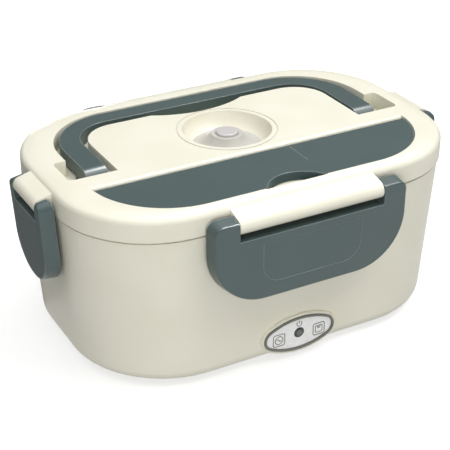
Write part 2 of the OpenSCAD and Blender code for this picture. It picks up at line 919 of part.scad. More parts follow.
module ac_inlet() color("#2c2f30") {
    face_y = boss_y + inlet_flange_t;
    difference() {
        union() {
            back_slab(-ac_inlet_x, ac_body_hx - run_fit, ac_body_hz - run_fit, ac_body_r - run_fit,
                face_y - ac_body_len, boss_y);
            back_slab(-ac_inlet_x, ac_body_hx + ac_flange, ac_body_hz + ac_flange,
                ac_body_r + ac_flange, boss_y, face_y);
        }
        translate([-ac_inlet_x, face_y + join, inlet_z])
            rotate([90, 0, 0])
                linear_extrude(socket_depth + join)
                    socket_lobes();
        for (s = [-1, 1])
            back_rod(-ac_inlet_x + s * pin_pitch / 2, ac_pin_r + run_fit, face_y - ac_body_len - join,
                face_y);
    }
}

module ac_pins() color("#c8a24a") {
    face_y = boss_y + inlet_flange_t;
    for (s = [-1, 1])
        back_rod(-ac_inlet_x + s * pin_pitch / 2, ac_pin_r, face_y - ac_body_len - 5, face_y - 3);
}

dc_body_len = 15;
dc_bore_depth = 10;

module dc_inlet() color("#2c2f30") {
    face_y = boss_y + inlet_flange_t;
    difference() {
        union() {
            back_rod(dc_inlet_x, dc_body_r - run_fit, face_y - dc_body_len, boss_y);
            back_rod(dc_inlet_x, dc_flange_r, boss_y, face_y);
        }
        back_rod(dc_inlet_x, dc_bore_r, face_y - dc_bore_depth, face_y + join);
        back_rod(dc_inlet_x, dc_pin_r + run_fit, face_y - dc_body_len - join, face_y);
    }
}

module dc_pin() color("#c8a24a") {
    face_y = boss_y + inlet_flange_t;
    back_rod(dc_inlet_x, dc_pin_r, face_y - dc_body_len - 4, face_y - 1);
}

// ---- Panel ----

plate_face_y = boss_y - 0.2;

module panel_bezel() color("#77776d") {
    difference() {
        panel_prism(-lie_gap / 2, -boss_y - ring_out, -boss_y + bezel_depth);
        panel_prism(-ring_w, -boss_y - ring_out - join, -boss_y + bezel_depth + join);
    }
}

module panel_plate() color(white) {
    difference() {
        panel_prism(-ring_w - lie_gap / 2, -plate_face_y, -boss_y + bezel_depth);
        translate([0, 0, panel_z])
            rotate([90, 0, 0])
                cylinder(h = boss_y + join, r = led_r + run_fit);
    }
}

led_board_y = boss_back_y - board_gap;

module led_lens() color("#4a4f4b") {
    translate([0, -led_board_y - 0.2, panel_z])
        rotate([90, 0, 0])
            cylinder(h = plate_face_y - led_board_y - 0.2, r = led_r);
    translate([0, -plate_face_y, panel_z])
        intersection() {
            rotate([90, 0, 0])
                cylinder(h = 1, r = led_r);
            translate([0, 6, 0])
                sphere(6.7);
        }
}

module led_board() color("#3f6b4a") {
    translate([-board_w / 2, -led_board_y, panel_z - board_h / 2])
        cube([board_w, board_t, board_h]);
    for (s = [-1, 1])
        translate([s * peg_x, -led_board_y, panel_z])
            rotate([90, 0, 0])
                cylinder(h = board_gap, r = peg_r);
}

// ---- Food containers ----

module food_tray() color(steel) {
    difference() {
        union() {
            base_block(tray_inset, tray_z, tray_rim_z + tray_wall, tray_bottom_r);
            base_ring(base_wall + 2, tray_inset + tray_wall / 2, tray_rim_z, tray_rim_z + tray_wall);
        }
        base_block(tray_inset + tray_wall, tray_z + tray_wall, tray_rim_z + tray_wall + join,
            tray_bottom_r - tray_wall);
    }
}

// Outline of the small box, moved inwards by d: straight on the left, round like the tray on
// the right
module box_plan(d) {
    hx = (tray_hx - box_left) / 2 + box_r;
    intersection() {
        base_plan(tray_inset + tray_wall + box_gap + d);
        translate([box_left + hx, 0])
            rrect(hx - d, tray_hy - tray_wall - box_gap - d, box_r - d);
    }
}

box_rim_h = 2;
box_plug_d = box_lip + box_wall + lie_gap;
box_plug_h = 4;
box_lid_t = 1.4;
box_lid_lip = 0.2;
box_rib_d = 5;
box_rib_w = 1.4;
box_tab_in = 3;
box_seal_h = 1.4;
box_seal_z = box_rim_z - 2.7;
box_seal_in = 0.8;
box_seal_out = 0.2;

module small_box() color("#dfe3e4") {
    difference() {
        union() {
            prism(box_z, box_rim_z)
                box_plan(box_lip);
            prism(box_rim_z - box_rim_h, box_rim_z)
                box_plan(0);
        }
        prism(box_z + box_wall, box_rim_z + join)
            box_plan(box_lip + box_wall);
    }
}

module small_box_lid() color("#eef1f1") {
    lid_z = box_rim_z + lie_gap;
    difference() {
        union() {
            prism(lid_z, lid_z + box_lid_t)
                box_plan(-box_lid_lip);
            prism(box_rim_z - box_plug_h, lid_z)
                box_plan(box_plug_d);
            prism(lid_z, lid_z + box_lid_h)
                difference() {
                    box_plan(box_rib_d);
                    box_plan(box_rib_d + box_rib_w);
                }
            translate([box_left + box_tab_in, -box_tab_len / 2, lid_z])
                cube([box_tab_w, box_tab_len, box_lid_h]);
        }
        prism(box_rim_z - box_plug_h - join, box_rim_z - join)
            box_plan(box_plug_d + box_lid_t);
        prism(box_seal_z - lie_gap, box_seal_z + box_seal_h + lie_gap)
            difference() {
                box_plan(box_plug_d - join);
                box_plan(box_plug_d + box_seal_in);
            }
    }
}

module small_box_seal() color(silicone) {
    prism(box_seal_z, box_seal_z + box_seal_h)
        difference() {
            box_plan(box_plug_d - box_seal_out);
            box_plan(box_plug_d + box_seal_in);
        }
}

// ---- Spoon ----

spoon_len = 2 * (well_hx - spoon_end_gap);
spoon_y = (well_front + well_back) / 2;
spoon_z = well_z + lie_gap;
spoon_bowl_r = spoon_bowl_w / 2;
spoon_sphere_r = 19;
spoon_bowl_depth = spoon_sphere_r - sqrt(pow(spoon_sphere_r, 2) - pow(spoon_bowl_r, 2));
spoon_stretch = 13;
spoon_tip_x = spoon_len - spoon_bowl_r;
spoon_shoulder = 14;
spoon_root_hw = 3.5;
spoon_waist_hw = 2.4;

// Two balls stretched into one form, for the inside and the outside of the bowl
module spoon_ball(r) {
    hull()
        for (s = [0, 1])
            translate([s * spoon_stretch, 0, spoon_z + spoon_sphere_r])
                sphere(r, $fn = 32);
}

module spoon() color(steel) {
    bowl_x = -spoon_len / 2 + spoon_bowl_r;
    rim_z = spoon_z + spoon_bowl_depth;
    handle_x = spoon_stretch + spoon_bowl_r - 2;
    translate([bowl_x, spoon_y, 0]) {
        difference() {
            spoon_ball(spoon_sphere_r);
            spoon_ball(spoon_sphere_r - spoon_t);
            translate([-spoon_len, -spoon_len / 2, rim_z])
                cube([2 * spoon_len, spoon_len, 2 * spoon_sphere_r]);
        }
        translate([0, 0, rim_z - spoon_t])
            linear_extrude(spoon_t) {
                for (side = [0, 1])
                    mirror([0, side])
                        polygon([[handle_x, -join], [handle_x, spoon_root_hw],
                            [handle_x + spoon_shoulder, spoon_waist_hw],
                            [spoon_tip_x - spoon_handle_w / 2, spoon_handle_w / 2],
                            [spoon_tip_x - spoon_handle_w / 2, -join]]);
                translate([spoon_tip_x - spoon_handle_w / 2, 0])
                    circle(spoon_handle_w / 2);
            }
    }
}

// ---- Lid ----

// Profile of the lid's edge: x = lid_corner_r is the outer wall
module rim_profile() {
    edge = [lid_corner_r - rim_r, 0];
    crown_c = [edge[0] - (crown_r - rim_r) * sin(crown_angle), deck_z - crown_r];
    edge_c = [edge[0], crown_c[1] + (crown_r - rim_r) * cos(crown_angle)];
    reach = 2 * crown_r;
    intersection() {
        translate(crown_c)
            circle(crown_r);
        polygon([crown_c, crown_c + [0, reach], crown_c + [reach * sin(crown_angle), reach]]);
        translate([0, seam_z])
            square([lid_corner_r, lid_h]);
    }
    translate(edge_c)
        circle(rim_r);
    polygon([[0, seam_z], [lid_corner_r, seam_z], [lid_corner_r, edge_c[1]], edge_c,
        [edge_c[0] + rim_r * sin(crown_angle), edge_c[1] + rim_r * cos(crown_angle)],
        [crown_c[0], deck_z - crown_r + crown_r * cos(crown_angle)],
        [crown_c[0], deck_z], [0, deck_z]]);
}

module lid_form() {
    sweep_round(lid_hx, lid_hy, lid_corner_r)
        rim_profile();
    prism(seam_z, deck_z)
        square([2 * (lid_hx - lid_corner_r), 2 * (lid_hy - lid_corner_r)], center = true);
}

// U-shaped recess for the handle, grown by d
module recess_plan(d) {
    difference() {
        union() {
            arch(recess_hx + d, recess_back + d, recess_front - d, recess_r + d);
            for (s = [-1, 1])
                translate([s * (recess_hx + pocket_out / 2 - 2.5), (recess_front + pocket_back) / 2])
                    rrect(pocket_out / 2 + 2.5 + d, (pocket_back - recess_front) / 2 + d, 3 + d);
        }
        island_plan(d);
    }
}

// Raised middle between the arms of the recess, with the finger scoop at the back
module island_plan(d) {
    difference() {
        arch(island_hx - d, island_back - d, recess_front - 5 - d, island_r - d);
        translate([0, island_back - scoop_depth + scoop_r])
            circle(scoop_r + d);
    }
}

// Slots under the arms' round ends
module slot_plan(d) {
    for (s = [-1, 1])
        translate([s * (arm_in + arm_out) / 2, (recess_front + pivot_boss_r + 1) / 2])
            rrect(arm_w / 2 + 0.8 + d, (pivot_boss_r + 1 - recess_front) / 2 + d, 1.5 + d);
}

// Outline of the cutlery cover, grown by d
module cutlery_plan(d) {
    intersection() {
        rrect(cutlery_hx + d, -cutlery_front + d, cutlery_r + d);
        translate([-cutlery_hx - 10, cutlery_front - 10])
            square([2 * cutlery_hx + 20, cutlery_back - cutlery_front + 10 + d]);
    }
}

module well_plan(d) {
    translate([0, (well_front + well_back) / 2])
        rrect(well_hx + d, (well_back - well_front) / 2 + d, well_r + d);
}

// Side of the vent's bowl and its floor, grown by d, up to the height top, for a revolve
module bowl_profile(d, top) {
    intersection() {
        union() {
            translate([bowl_floor_r, bowl_centre_z])
                circle(bowl_side_r + d);
            translate([0, bowl_z - d])
                square([bowl_floor_r, 2 * bowl_side_r]);
        }
        translate([0, bowl_z - d])
            square([bowl_r + d + 5, top - bowl_z + d]);
    }
}

module at_vent() {
    translate([0, vent_y, 0])
        children();
}

// Hinge lug: a barrel and the web that runs from it to the lid's wall
module hinge_lug(half, out) {
    slope = 15;
    inner = out + 2;
    rotate([90, 0, 90])
        translate([0, 0, -half])
            linear_extrude(2 * half) {
                circle(barrel_r);
                polygon([[-barrel_r * sin(slope), barrel_r * cos(slope)],
                    [inner, barrel_r * cos(slope) + (inner + barrel_r * sin(slope)) * tan(slope)],
                    [inner, -barrel_r + 1.2], [0, -barrel_r + 1.2], [0, 0]]);
            }
}

module stub_bores(half) {
    for (s = [-1, 1])
        translate([s * (half - (stub_len + 1) / 2 + join / 2), 0, 0])
            rotate([0, 90, 0])
                cylinder(h = stub_len + 1 + join, r = stub_r + run_fit, center = true);
}

// The pad under the finger dip, seen in plan, grown by d
module dip_plan(d) {
    intersection() {
        translate([0, cutlery_front + dip_reach - dip_r])
            circle(dip_r + d);
        translate([-dip_r - d, cutlery_front - d])
            square([2 * (dip_r + d), dip_reach + 2 * d]);
    }
}

dip_pad_z = cutlery_top - dip_depth - 1.4;

// Channel in which the cover's hinge bead turns, grown by d
module bead_channel(d) {
    intersection() {
        translate([0, bead_y, bead_z])
            rotate([0, 90, 0])
                cylinder(h = 2 * cutlery_hx + 10, r = bead_r + lie_gap + d, center = true);
        prism(bead_z - 10, cutlery_top)
            cutlery_plan(cutlery_gap + 2 * d);
    }
}

module lid_shell() color(cream) {
    difference() {
        union() {
            difference() {
                lid_form();
                prism(seam_z - join, deck_z - rim_r - deck_t)
                    lid_plan(lid_wall);
                prism(deck_z - rim_r - deck_t - join, deck_z - deck_t)
                    lid_plan(lid_wall + rim_r);
            }
            lid_ring(lid_wall - 0.4, lid_wall + 2.6, pan_top_z, pan_top_z + 1.8);
            prism(recess_floor_z - cup_t, deck_z - deck_t + join)
                recess_plan(cup_t);
            prism(slot_floor_z - cup_t, recess_floor_z)
                slot_plan(cup_t);
            prism(cutlery_z - lie_gap - cup_t, deck_z - deck_t + join)
                cutlery_plan(cutlery_gap + cup_t);
            prism(dip_pad_z - 2 * cup_t - lie_gap, cutlery_z)
                dip_plan(cup_t + 1);
            bead_channel(cup_t);
            prism(well_z - cup_t, cutlery_z)
                well_plan(cup_t);
            at_vent()
                rotate_extrude()
                    bowl_profile(cup_t, deck_z - deck_t + join);
            at_vent()
                translate([0, 0, pan_z + pan_t])
                    cylinder(h = bowl_z - pan_z - pan_t, r = neck_r + cup_t);
            for (turn = [0, 180])
                to_side(turn, long_pivot)
                    hinge_lug(long_barrel_hw, long_hinge_out);
            for (turn = [90, -90])
                to_side(turn, short_pivot)
                    hinge_lug(short_barrel_hw, short_hinge_out);
        }
        prism(recess_floor_z, deck_z + join)
            recess_plan(0);
        prism(slot_floor_z, deck_z + join)
            slot_plan(0);
        prism(cutlery_z - lie_gap, deck_z + join)
            cutlery_plan(cutlery_gap);
        prism(dip_pad_z - lie_gap, deck_z)
            dip_plan(1);
        bead_channel(0);
        prism(well_z, deck_z)
            well_plan(0);
        at_vent()
            rotate_extrude()
                bowl_profile(0, deck_z + join);
        at_vent()
            rotate_extrude()
                translate([crease_r, deck_z - crease_t])
                    square([crease_w, 1]);
        at_vent()
            translate([0, 0, pan_z])
                cylinder(h = deck_z - pan_z, r = neck_r + run_fit);
        // Soft edge behind the cutlery cover
        translate([-cutlery_hx, cutlery_back + cutlery_gap, deck_z])
            rotate([90, 0, 90])
                linear_extrude(2 * cutlery_hx)
                    difference() {
                        translate([-join, -bead_r])
                            square([bead_r + join, bead_r + join]);
                        translate([bead_r, -bead_r])
                            circle(bead_r);
                    }
        // Bores for the cutlery cover's stubs
        translate([0, bead_y, bead_z])
            rotate([0, 90, 0])
                cylinder(h = 2 * (cutlery_hx + 4), r = cover_stub_r + run_fit, center = true);
        for (turn = [0, 180])
            to_side(turn, long_pivot)
                stub_bores(long_barrel_hw);
        for (turn = [90, -90])
            to_side(turn, short_pivot)
                stub_bores(short_barrel_hw);
    }
    // Pivot stubs for the handle
    for (s = [-1, 1])
        translate([s * (island_hx - join), 0, handle_pivot_z])
            rotate([0, s * 90, 0])
                cylinder(h = arm_gap + pivot_depth - 0.5 + join, r = pivot_r);
}

seal_in = 9;
seal_out = 5.4;

module lid_liner() color(white) {
    difference() {
        union() {
            prism(pan_z, pan_top_z)
                lid_plan(pan_inset);
            lid_ring(lid_wall + lie_gap, pan_inset + join, pan_flange_z, pan_top_z);
            for (d = [seal_out - 1, seal_in])
                lid_ring(d, d + 1, pan_flange_z - 1, pan_flange_z + join);
        }
        prism(pan_z + pan_t, pan_top_z + join)
            lid_plan(pan_inset + pan_t);
        at_vent()
            translate([0, 0, pan_z - join])
                cylinder(h = pan_t + 2 * join, r = neck_r + run_fit);
    }
}

module lid_seal() color(silicone) {
    seal_z = tray_rim_z + tray_wall + lie_gap;
    lid_ring(seal_out + run_fit, seal_in - run_fit, seal_z, pan_flange_z);
    lid_ring(seal_out + 1.4, seal_in - 1.4, seal_z - lie_gap / 2, seal_z + join);
}

// ---- Steam vent ----

seat_step = 0.7;

module vent_seat() color(silicone) {
    difference() {
        union() {
            at_vent()
                rotate_extrude()
                    difference() {
                        intersection() {
                            bowl_profile(-run_fit, deck_z);
                            square([seat_r, seat_top_z]);
                        }
                        translate([seat_r, bowl_z + 1.1 + seat_flank_r])
                            circle(seat_flank_r);
                    }
            at_vent()
                translate([0, 0, pan_z])
                    cylinder(h = bowl_z - pan_z + join, r = neck_r);
            at_vent()
                translate([0, 0, pan_z - 1.2])
                    cylinder(h = 1.2, r = neck_r + 1.4);
        }
        at_vent()
            translate([0, 0, seat_top_z - seat_step])
                cylinder(h = seat_step + join, r = button_r + 0.3);
        at_vent()
            translate([0, 0, pan_z - 2])
                cylinder(h = deck_z - pan_z, r = stem_r + run_fit);
    }
}

module vent_plug() color("#d4d1d0") {
    at_vent()
        rotate_extrude() {
            difference() {
                translate([0, seat_top_z - seat_step + 0.1])
                    square([button_r, button_z - seat_top_z + seat_step - 0.1]);
                translate([button_r - 0.8, button_z - 0.8])
                    difference() {
                        square(0.8 + join);
                        circle(0.8);
                    }
            }
            translate([0, pan_z + 1])
                square([stem_r, button_z - pan_z - 2]);
        }
}

// ---- Cutlery cover ----

module cutlery_cover() color(grey) {
    stub_reach = 2;
    difference() {
        union() {
            prism(cutlery_z, cutlery_top)
                intersection() {
                    cutlery_plan(0);
                    translate([-cutlery_hx, cutlery_front])
                        square([2 * cutlery_hx, bead_y - cutlery_front]);
                }
            intersection() {
                translate([0, bead_y, bead_z])
                    rotate([0, 90, 0])
                        cylinder(h = 2 * cutlery_hx, r = bead_r, center = true);
                prism(deck_z - 10, deck_z)
                    cutlery_plan(0);
            }
            translate([0, bead_y, bead_z])
                rotate([0, 90, 0])
                    cylinder(h = 2 * (cutlery_hx + stub_reach), r = cover_stub_r, center = true);
            prism(dip_pad_z, cutlery_z + join)
                intersection() {
                    cutlery_plan(-0.2);
                    dip_plan(0.6);
                }
        }
        // Fine crease that starts at the hinge bead
        translate([cover_crease_x, bead_y - bead_r - cover_crease_len, cutlery_top - crease_t])
            cube([cover_crease_w, cover_crease_len, crease_t + join]);
        // Finger dip: a round cut whose floor falls towards the front edge
        translate([0, cutlery_front, cutlery_top - dip_depth])
            rotate([-atan((dip_depth - 1) / dip_reach), 0, 0])
                translate([0, dip_reach - dip_r, 0])
                    cylinder(h = 12, r = dip_r);
    }
}

// ---- Carry handle ----

module handle_plan() {
    difference() {
        arch(arm_out, grip_back, 0, handle_r);
        arch(arm_in, grip_front, -join, handle_inner_r);
    }
}

module carry_handle() color(grey) {
    difference() {
        union() {
            prism(handle_z, handle_top)
                handle_plan();
            for (s = [-1, 1])
                translate([s * (arm_in + arm_out) / 2, 0, handle_pivot_z])
                    rotate([0, 90, 0])
                        cylinder(h = arm_w, r = pivot_boss_r, center = true);
        }
        for (s = [-1, 1])
            translate([s * (arm_in - join), 0, handle_pivot_z])
                rotate([0, s * 90, 0])
                    cylinder(h = pivot_depth + join, r = pivot_r + run_fit);
    }
}

// ---- Latches ----

// Slice of a latch at distance y from its hinge, with its outline grown by d
module latch_slice(y, hw, up, drop, r, d) {
    top_r = 4.5;
    translate([0, y, 0])
        rotate([90, 0, 0])
            linear_extrude(slice) {
                for (s = [-1, 1]) {
                    translate([s * (hw - r), r - drop])
                        difference() {
                            circle(r + d, $fn = 64);
                            translate([-r - 2, 0])
                                square([2 * r + 4, r + 2]);
                        }
                    translate([s * (hw - top_r), up - top_r])
                        circle(top_r + d, $fn = 32);
                }
            }
}

// A latch as it hangs from its hinge, facing -Y, with the hinge at the origin
module latch_body(hw, drop, r, barrel, round_ears) {
    flare = 0.9;
    hollow_up = -notch_drop - 2.4;
    inner_y = latch_plate_t - latch_face;
    difference() {
        hull() {
            latch_slice(latch_back, hw, latch_up - flare, drop, r, flare);
            for (a = [0 : 30 : 90])
                latch_slice(slice - latch_face + latch_edge_r * (1 - sin(a)), hw,
                    latch_up - flare, drop, r, -latch_edge_r * (1 - cos(a)));
        }
        hull() {
            latch_slice(latch_back + join, hw - latch_wall, hollow_up, drop - latch_wall,
                r - latch_wall, flare);
            latch_slice(inner_y, hw - latch_wall, hollow_up, drop - latch_wall, r - latch_wall, 0);
        }
        translate([-barrel - ear_gap, -10, -notch_drop])
            cube([2 * (barrel + ear_gap), 20, 20]);
        if (round_ears)
            difference() {
                translate([-hw - 5, -10, 0])
                    cube([2 * hw + 10, 20, 10]);
                rotate([0, 90, 0])
                    cylinder(h = 2 * hw + 12, r = latch_face, center = true);
            }
        else
            // Shallow panel in the face
            translate([0, inset_t - latch_face, 0])
                rotate([90, 0, 0])
                    linear_extrude(2 * inset_t)
                        mirror([0, 1])
                            arch(barrel * inset_share, drop - inset_margin,
                                notch_drop + inset_margin / 2, inset_r);
    }
    for (s = [-1, 1])
        translate([s * (barrel + ear_gap + join), 0, 0])
            rotate([0, -s * 90, 0])
                cylinder(h = stub_len + ear_gap + join, r = stub_r);
}

// A latch in its place on the front, with the lip that goes under the catch
module latch(pivot, hw, drop, r, barrel, catch_hw, wall, lean, round_ears) {
    lip_h = 2.4;
    lip_y = pivot - wall - catch_out - lie_gap;
    root_y = 0.7 * latch_plate_t - latch_face + catch_drop * tan(lean);
    difference() {
        union() {
            rotate([lean, 0, 0])
                latch_body(hw, drop, r, barrel, round_ears);
            translate([-catch_hw + 1, root_y, -catch_drop - lie_gap - lip_h])
                cube([2 * catch_hw - 2, lip_y - root_y, lip_h]);
        }
        // Room for the catch when the lid is lifted straight up
        translate([-catch_hw - 0.6, lip_y, -drop - 5])
            cube([2 * catch_hw + 1.2, 10, drop + 5 - catch_drop + catch_h + 1]);
    }
}

module long_latch() {
    latch(long_pivot, long_latch_hw, long_latch_drop, long_latch_r, long_barrel_hw,
        long_catch_hw, side_wall_at(catch_z), 0, false);
}

module short_latch() {
    // The lean would bring the lower edge inside the base's top edge, so it is trimmed upright
    trim_y = short_pivot - base_hx - 0.4;
    latch_trim = 2 * short_latch_drop;
    difference() {
        latch(short_pivot, short_latch_hw, short_latch_drop, short_latch_r, short_barrel_hw,
            short_catch_hw, end_wall_at(catch_z), short_latch_lean, true);
        translate([-latch_trim, trim_y, -latch_trim])
            cube([2 * latch_trim, latch_trim / 4, latch_trim - latch_face]);
    }
}

module latch_front() color(grey) to_side(0, long_pivot) long_latch();
module latch_back() color(grey) to_side(180, long_pivot) long_latch();
module latch_left() color(grey) to_side(-90, short_pivot) short_latch();
module latch_right() color(grey) to_side(90, short_pivot) short_latch();

base_shell();
bottom_cover();
cover_screws();
rubber_feet();
inner_liner();
heating_plate();
ac_heater();
dc_heater();
heater_clamp();
clamp_screws();
thermostat();
thermal_fuse();
ac_inlet();
ac_pins();
dc_inlet();
dc_pin();
panel_bezel();
panel_plate();
led_lens();
led_board();
food_tray();
small_box();
small_box_lid();
small_box_seal();
lid_shell();
lid_liner();
lid_seal();
vent_seat();
vent_plug();
cutlery_cover();
spoon();
carry_handle();
latch_front();
latch_back();
latch_left();
latch_right();
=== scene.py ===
"""Studio scene of an electric lunch box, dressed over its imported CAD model.

Units are metres. X runs along the box, Y to the back and Z up; the origin is on the surface
under the middle of the box.
"""
from __future__ import annotations

import json
import logging
import math
from dataclasses import dataclass, field
from enum import Enum
from typing import Iterable

import bmesh
import bpy
from mathutils import Matrix, Vector

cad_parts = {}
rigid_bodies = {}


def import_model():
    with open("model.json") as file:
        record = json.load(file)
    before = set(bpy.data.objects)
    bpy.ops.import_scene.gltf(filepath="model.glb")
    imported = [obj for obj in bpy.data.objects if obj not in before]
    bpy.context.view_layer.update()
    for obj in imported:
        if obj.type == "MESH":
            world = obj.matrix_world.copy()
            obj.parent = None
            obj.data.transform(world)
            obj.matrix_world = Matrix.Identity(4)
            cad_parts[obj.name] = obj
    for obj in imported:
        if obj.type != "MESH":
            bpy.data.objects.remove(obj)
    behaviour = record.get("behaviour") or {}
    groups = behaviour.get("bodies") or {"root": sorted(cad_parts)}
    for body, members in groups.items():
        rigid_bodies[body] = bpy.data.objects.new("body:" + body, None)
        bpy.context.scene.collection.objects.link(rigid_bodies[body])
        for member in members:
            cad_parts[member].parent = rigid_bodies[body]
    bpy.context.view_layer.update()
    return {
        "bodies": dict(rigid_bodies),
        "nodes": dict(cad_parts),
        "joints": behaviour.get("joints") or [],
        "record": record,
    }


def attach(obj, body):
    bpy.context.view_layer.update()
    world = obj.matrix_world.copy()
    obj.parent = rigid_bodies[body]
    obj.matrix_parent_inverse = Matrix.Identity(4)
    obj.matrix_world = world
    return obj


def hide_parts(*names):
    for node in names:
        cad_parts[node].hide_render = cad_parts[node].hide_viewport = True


LOG = logging.getLogger("lunch_box")
MM = 0.001

# Middle of the indicator panel's face, in millimetres
PANEL_FACE_Y = -71.7
PANEL_HEIGHT = 14.0

# Angles in degrees below which an edge of a skin, and of a printed mark, is shaded smooth
SKIN_CREASE = 32.0
MARK_CREASE = 35.0

# Octaves of a noise, and how much of each the next one keeps
OCTAVES = 3.0
OCTAVE_SHARE = 0.55


def linear(value: float) -> float:
    """Turns one sRGB channel, from 0 to 1, into linear light."""
    return value / 12.92 if value <= 0.04045 else ((value + 0.055) / 1.055) ** 2.4


def srgb(code: str) -> tuple[float, float, float, float]:
    """Turns an sRGB hex colour into linear light.

    Args:
        code: Colour such as "#d3d1c0".

    Returns:
        Linear red, green and blue, with full opacity.
    """
    red, green, blue = (linear(int(code[i:i + 2], 16) / 255) for i in (1, 3, 5))
    return red, green, blue, 1.0


def add_node(tree: bpy.types.NodeTree, kind: str, settings: dict | None = None,
             links: dict | None = None, values: dict | None = None) -> bpy.types.Node:
    """Adds one shader node with its settings, socket values and incoming links.

    Args:
        tree: Node tree that the node joins.
        kind: Blender's name for the node type.
        settings: Attributes of the node itself.
        links: Input socket to the output socket that feeds it.
        values: Input socket to its plain value.

    Returns:
        The new node.
    """
    made = tree.nodes.new(kind)
    for name, value in (settings or {}).items():
        setattr(made, name, value)
    for socket, value in (values or {}).items():
        made.inputs[socket].default_value = value
    for socket, source in (links or {}).items():
        tree.links.new(source, made.inputs[socket])
    return made


def per_mm(size_mm: float) -> float:
    """Gives the texture scale at which one feature is size_mm wide."""
    return 1.0 / (size_mm * MM)


def new_material(name: str) -> tuple[bpy.types.Material, bpy.types.NodeTree, bpy.types.Node]:
    """Makes an empty node material.

    Args:
        name: Name of the material.

    Returns:
        The material, its node tree and its Principled shader.
    """
    material = bpy.data.materials.new(name)
    material.use_nodes = True
    tree = material.node_tree
    tree.nodes.clear()
    shader = tree.nodes.new("ShaderNodeBsdfPrincipled")
    output = tree.nodes.new("ShaderNodeOutputMaterial")
    tree.links.new(shader.outputs["BSDF"], output.inputs["Surface"])
    return material, tree, shader


def mottle(tree: bpy.types.NodeTree, size_mm: float,
           stretch: tuple[float, float, float] = (1, 1, 1),
           detail: float = OCTAVES) -> bpy.types.NodeSocket:
    """Adds noise on object coordinates.

    Args:
        tree: Node tree that the noise joins.
        size_mm: Width of one patch.
        stretch: Factors on the coordinates; a small one draws the patch out.
        detail: Octaves of the noise.

    Returns:
        The noise's factor.
    """
    place = add_node(tree, "ShaderNodeTexCoord")
    mapping = add_node(tree, "ShaderNodeMapping", links={"Vector": place.outputs["Object"]},
                       values={"Scale": stretch})
    noise = add_node(tree, "ShaderNodeTexNoise", links={"Vector": mapping.outputs["Vector"]},
                     values={"Scale": per_mm(size_mm), "Detail": detail,
                             "Roughness": OCTAVE_SHARE})
    return noise.outputs["Fac"]


def patches(tree: bpy.types.NodeTree, size_mm: float, span: tuple[float, float],
            stretch: tuple[float, float, float] = (1, 1, 1), detail: float = OCTAVES,
            edge: float = 0.3) -> bpy.types.NodeSocket:
    """Adds soft patches that wander between two values.

    Args:
        tree: Node tree that the patches join.
        size_mm: Width of one patch.
        span: Value in the low patches and in the high ones.
        stretch: Factors on the coordinates; a small one draws the patch out.
        detail: Octaves of the noise behind the patches.
        edge: Noise under which a patch is low; the high ones mirror it.

    Returns:
        The wandering value.
    """
    low, high = span
    ranged = add_node(tree, "ShaderNodeMapRange", {"interpolation_type": "SMOOTHSTEP"},
                      links={"Value": mottle(tree, size_mm, stretch, detail)},
                      values={"From Min": edge, "From Max": 1 - edge,
                              "To Min": low, "To Max": high})
    return ranged.outputs["Result"]


@dataclass(frozen=True)
class Finish:
    """A finish by its common name, on a ground that wanders between two close colours."""

    name: str
    colour: str
    shade: str

    def ground(self, patch_mm: float, detail: float = OCTAVES, edge: float = 0.3
               ) -> tuple[bpy.types.Material, bpy.types.NodeTree, bpy.types.Node,
                          bpy.types.NodeSocket]:
        """Makes the material with its two colours in soft patches.

        Args:
            patch_mm: Width of one patch of colour.
            detail: Octaves of the patches.
            edge: Noise under which a patch has the first colour.

        Returns:
            The material, its node tree, its Principled shader and the ground's colour.
        """
        material, tree, shader = new_material(self.name)
        share = patches(tree, patch_mm, (0.0, 1.0), detail=detail, edge=edge)
        tone = add_node(tree, "ShaderNodeMix", {"data_type": "RGBA"}, {"Factor": share},
                        {"A": srgb(self.colour), "B": srgb(self.shade)})
        tree.links.new(tone.outputs["Result"], shader.inputs["Base Color"])
        return material, tree, shader, tone.outputs["Result"]


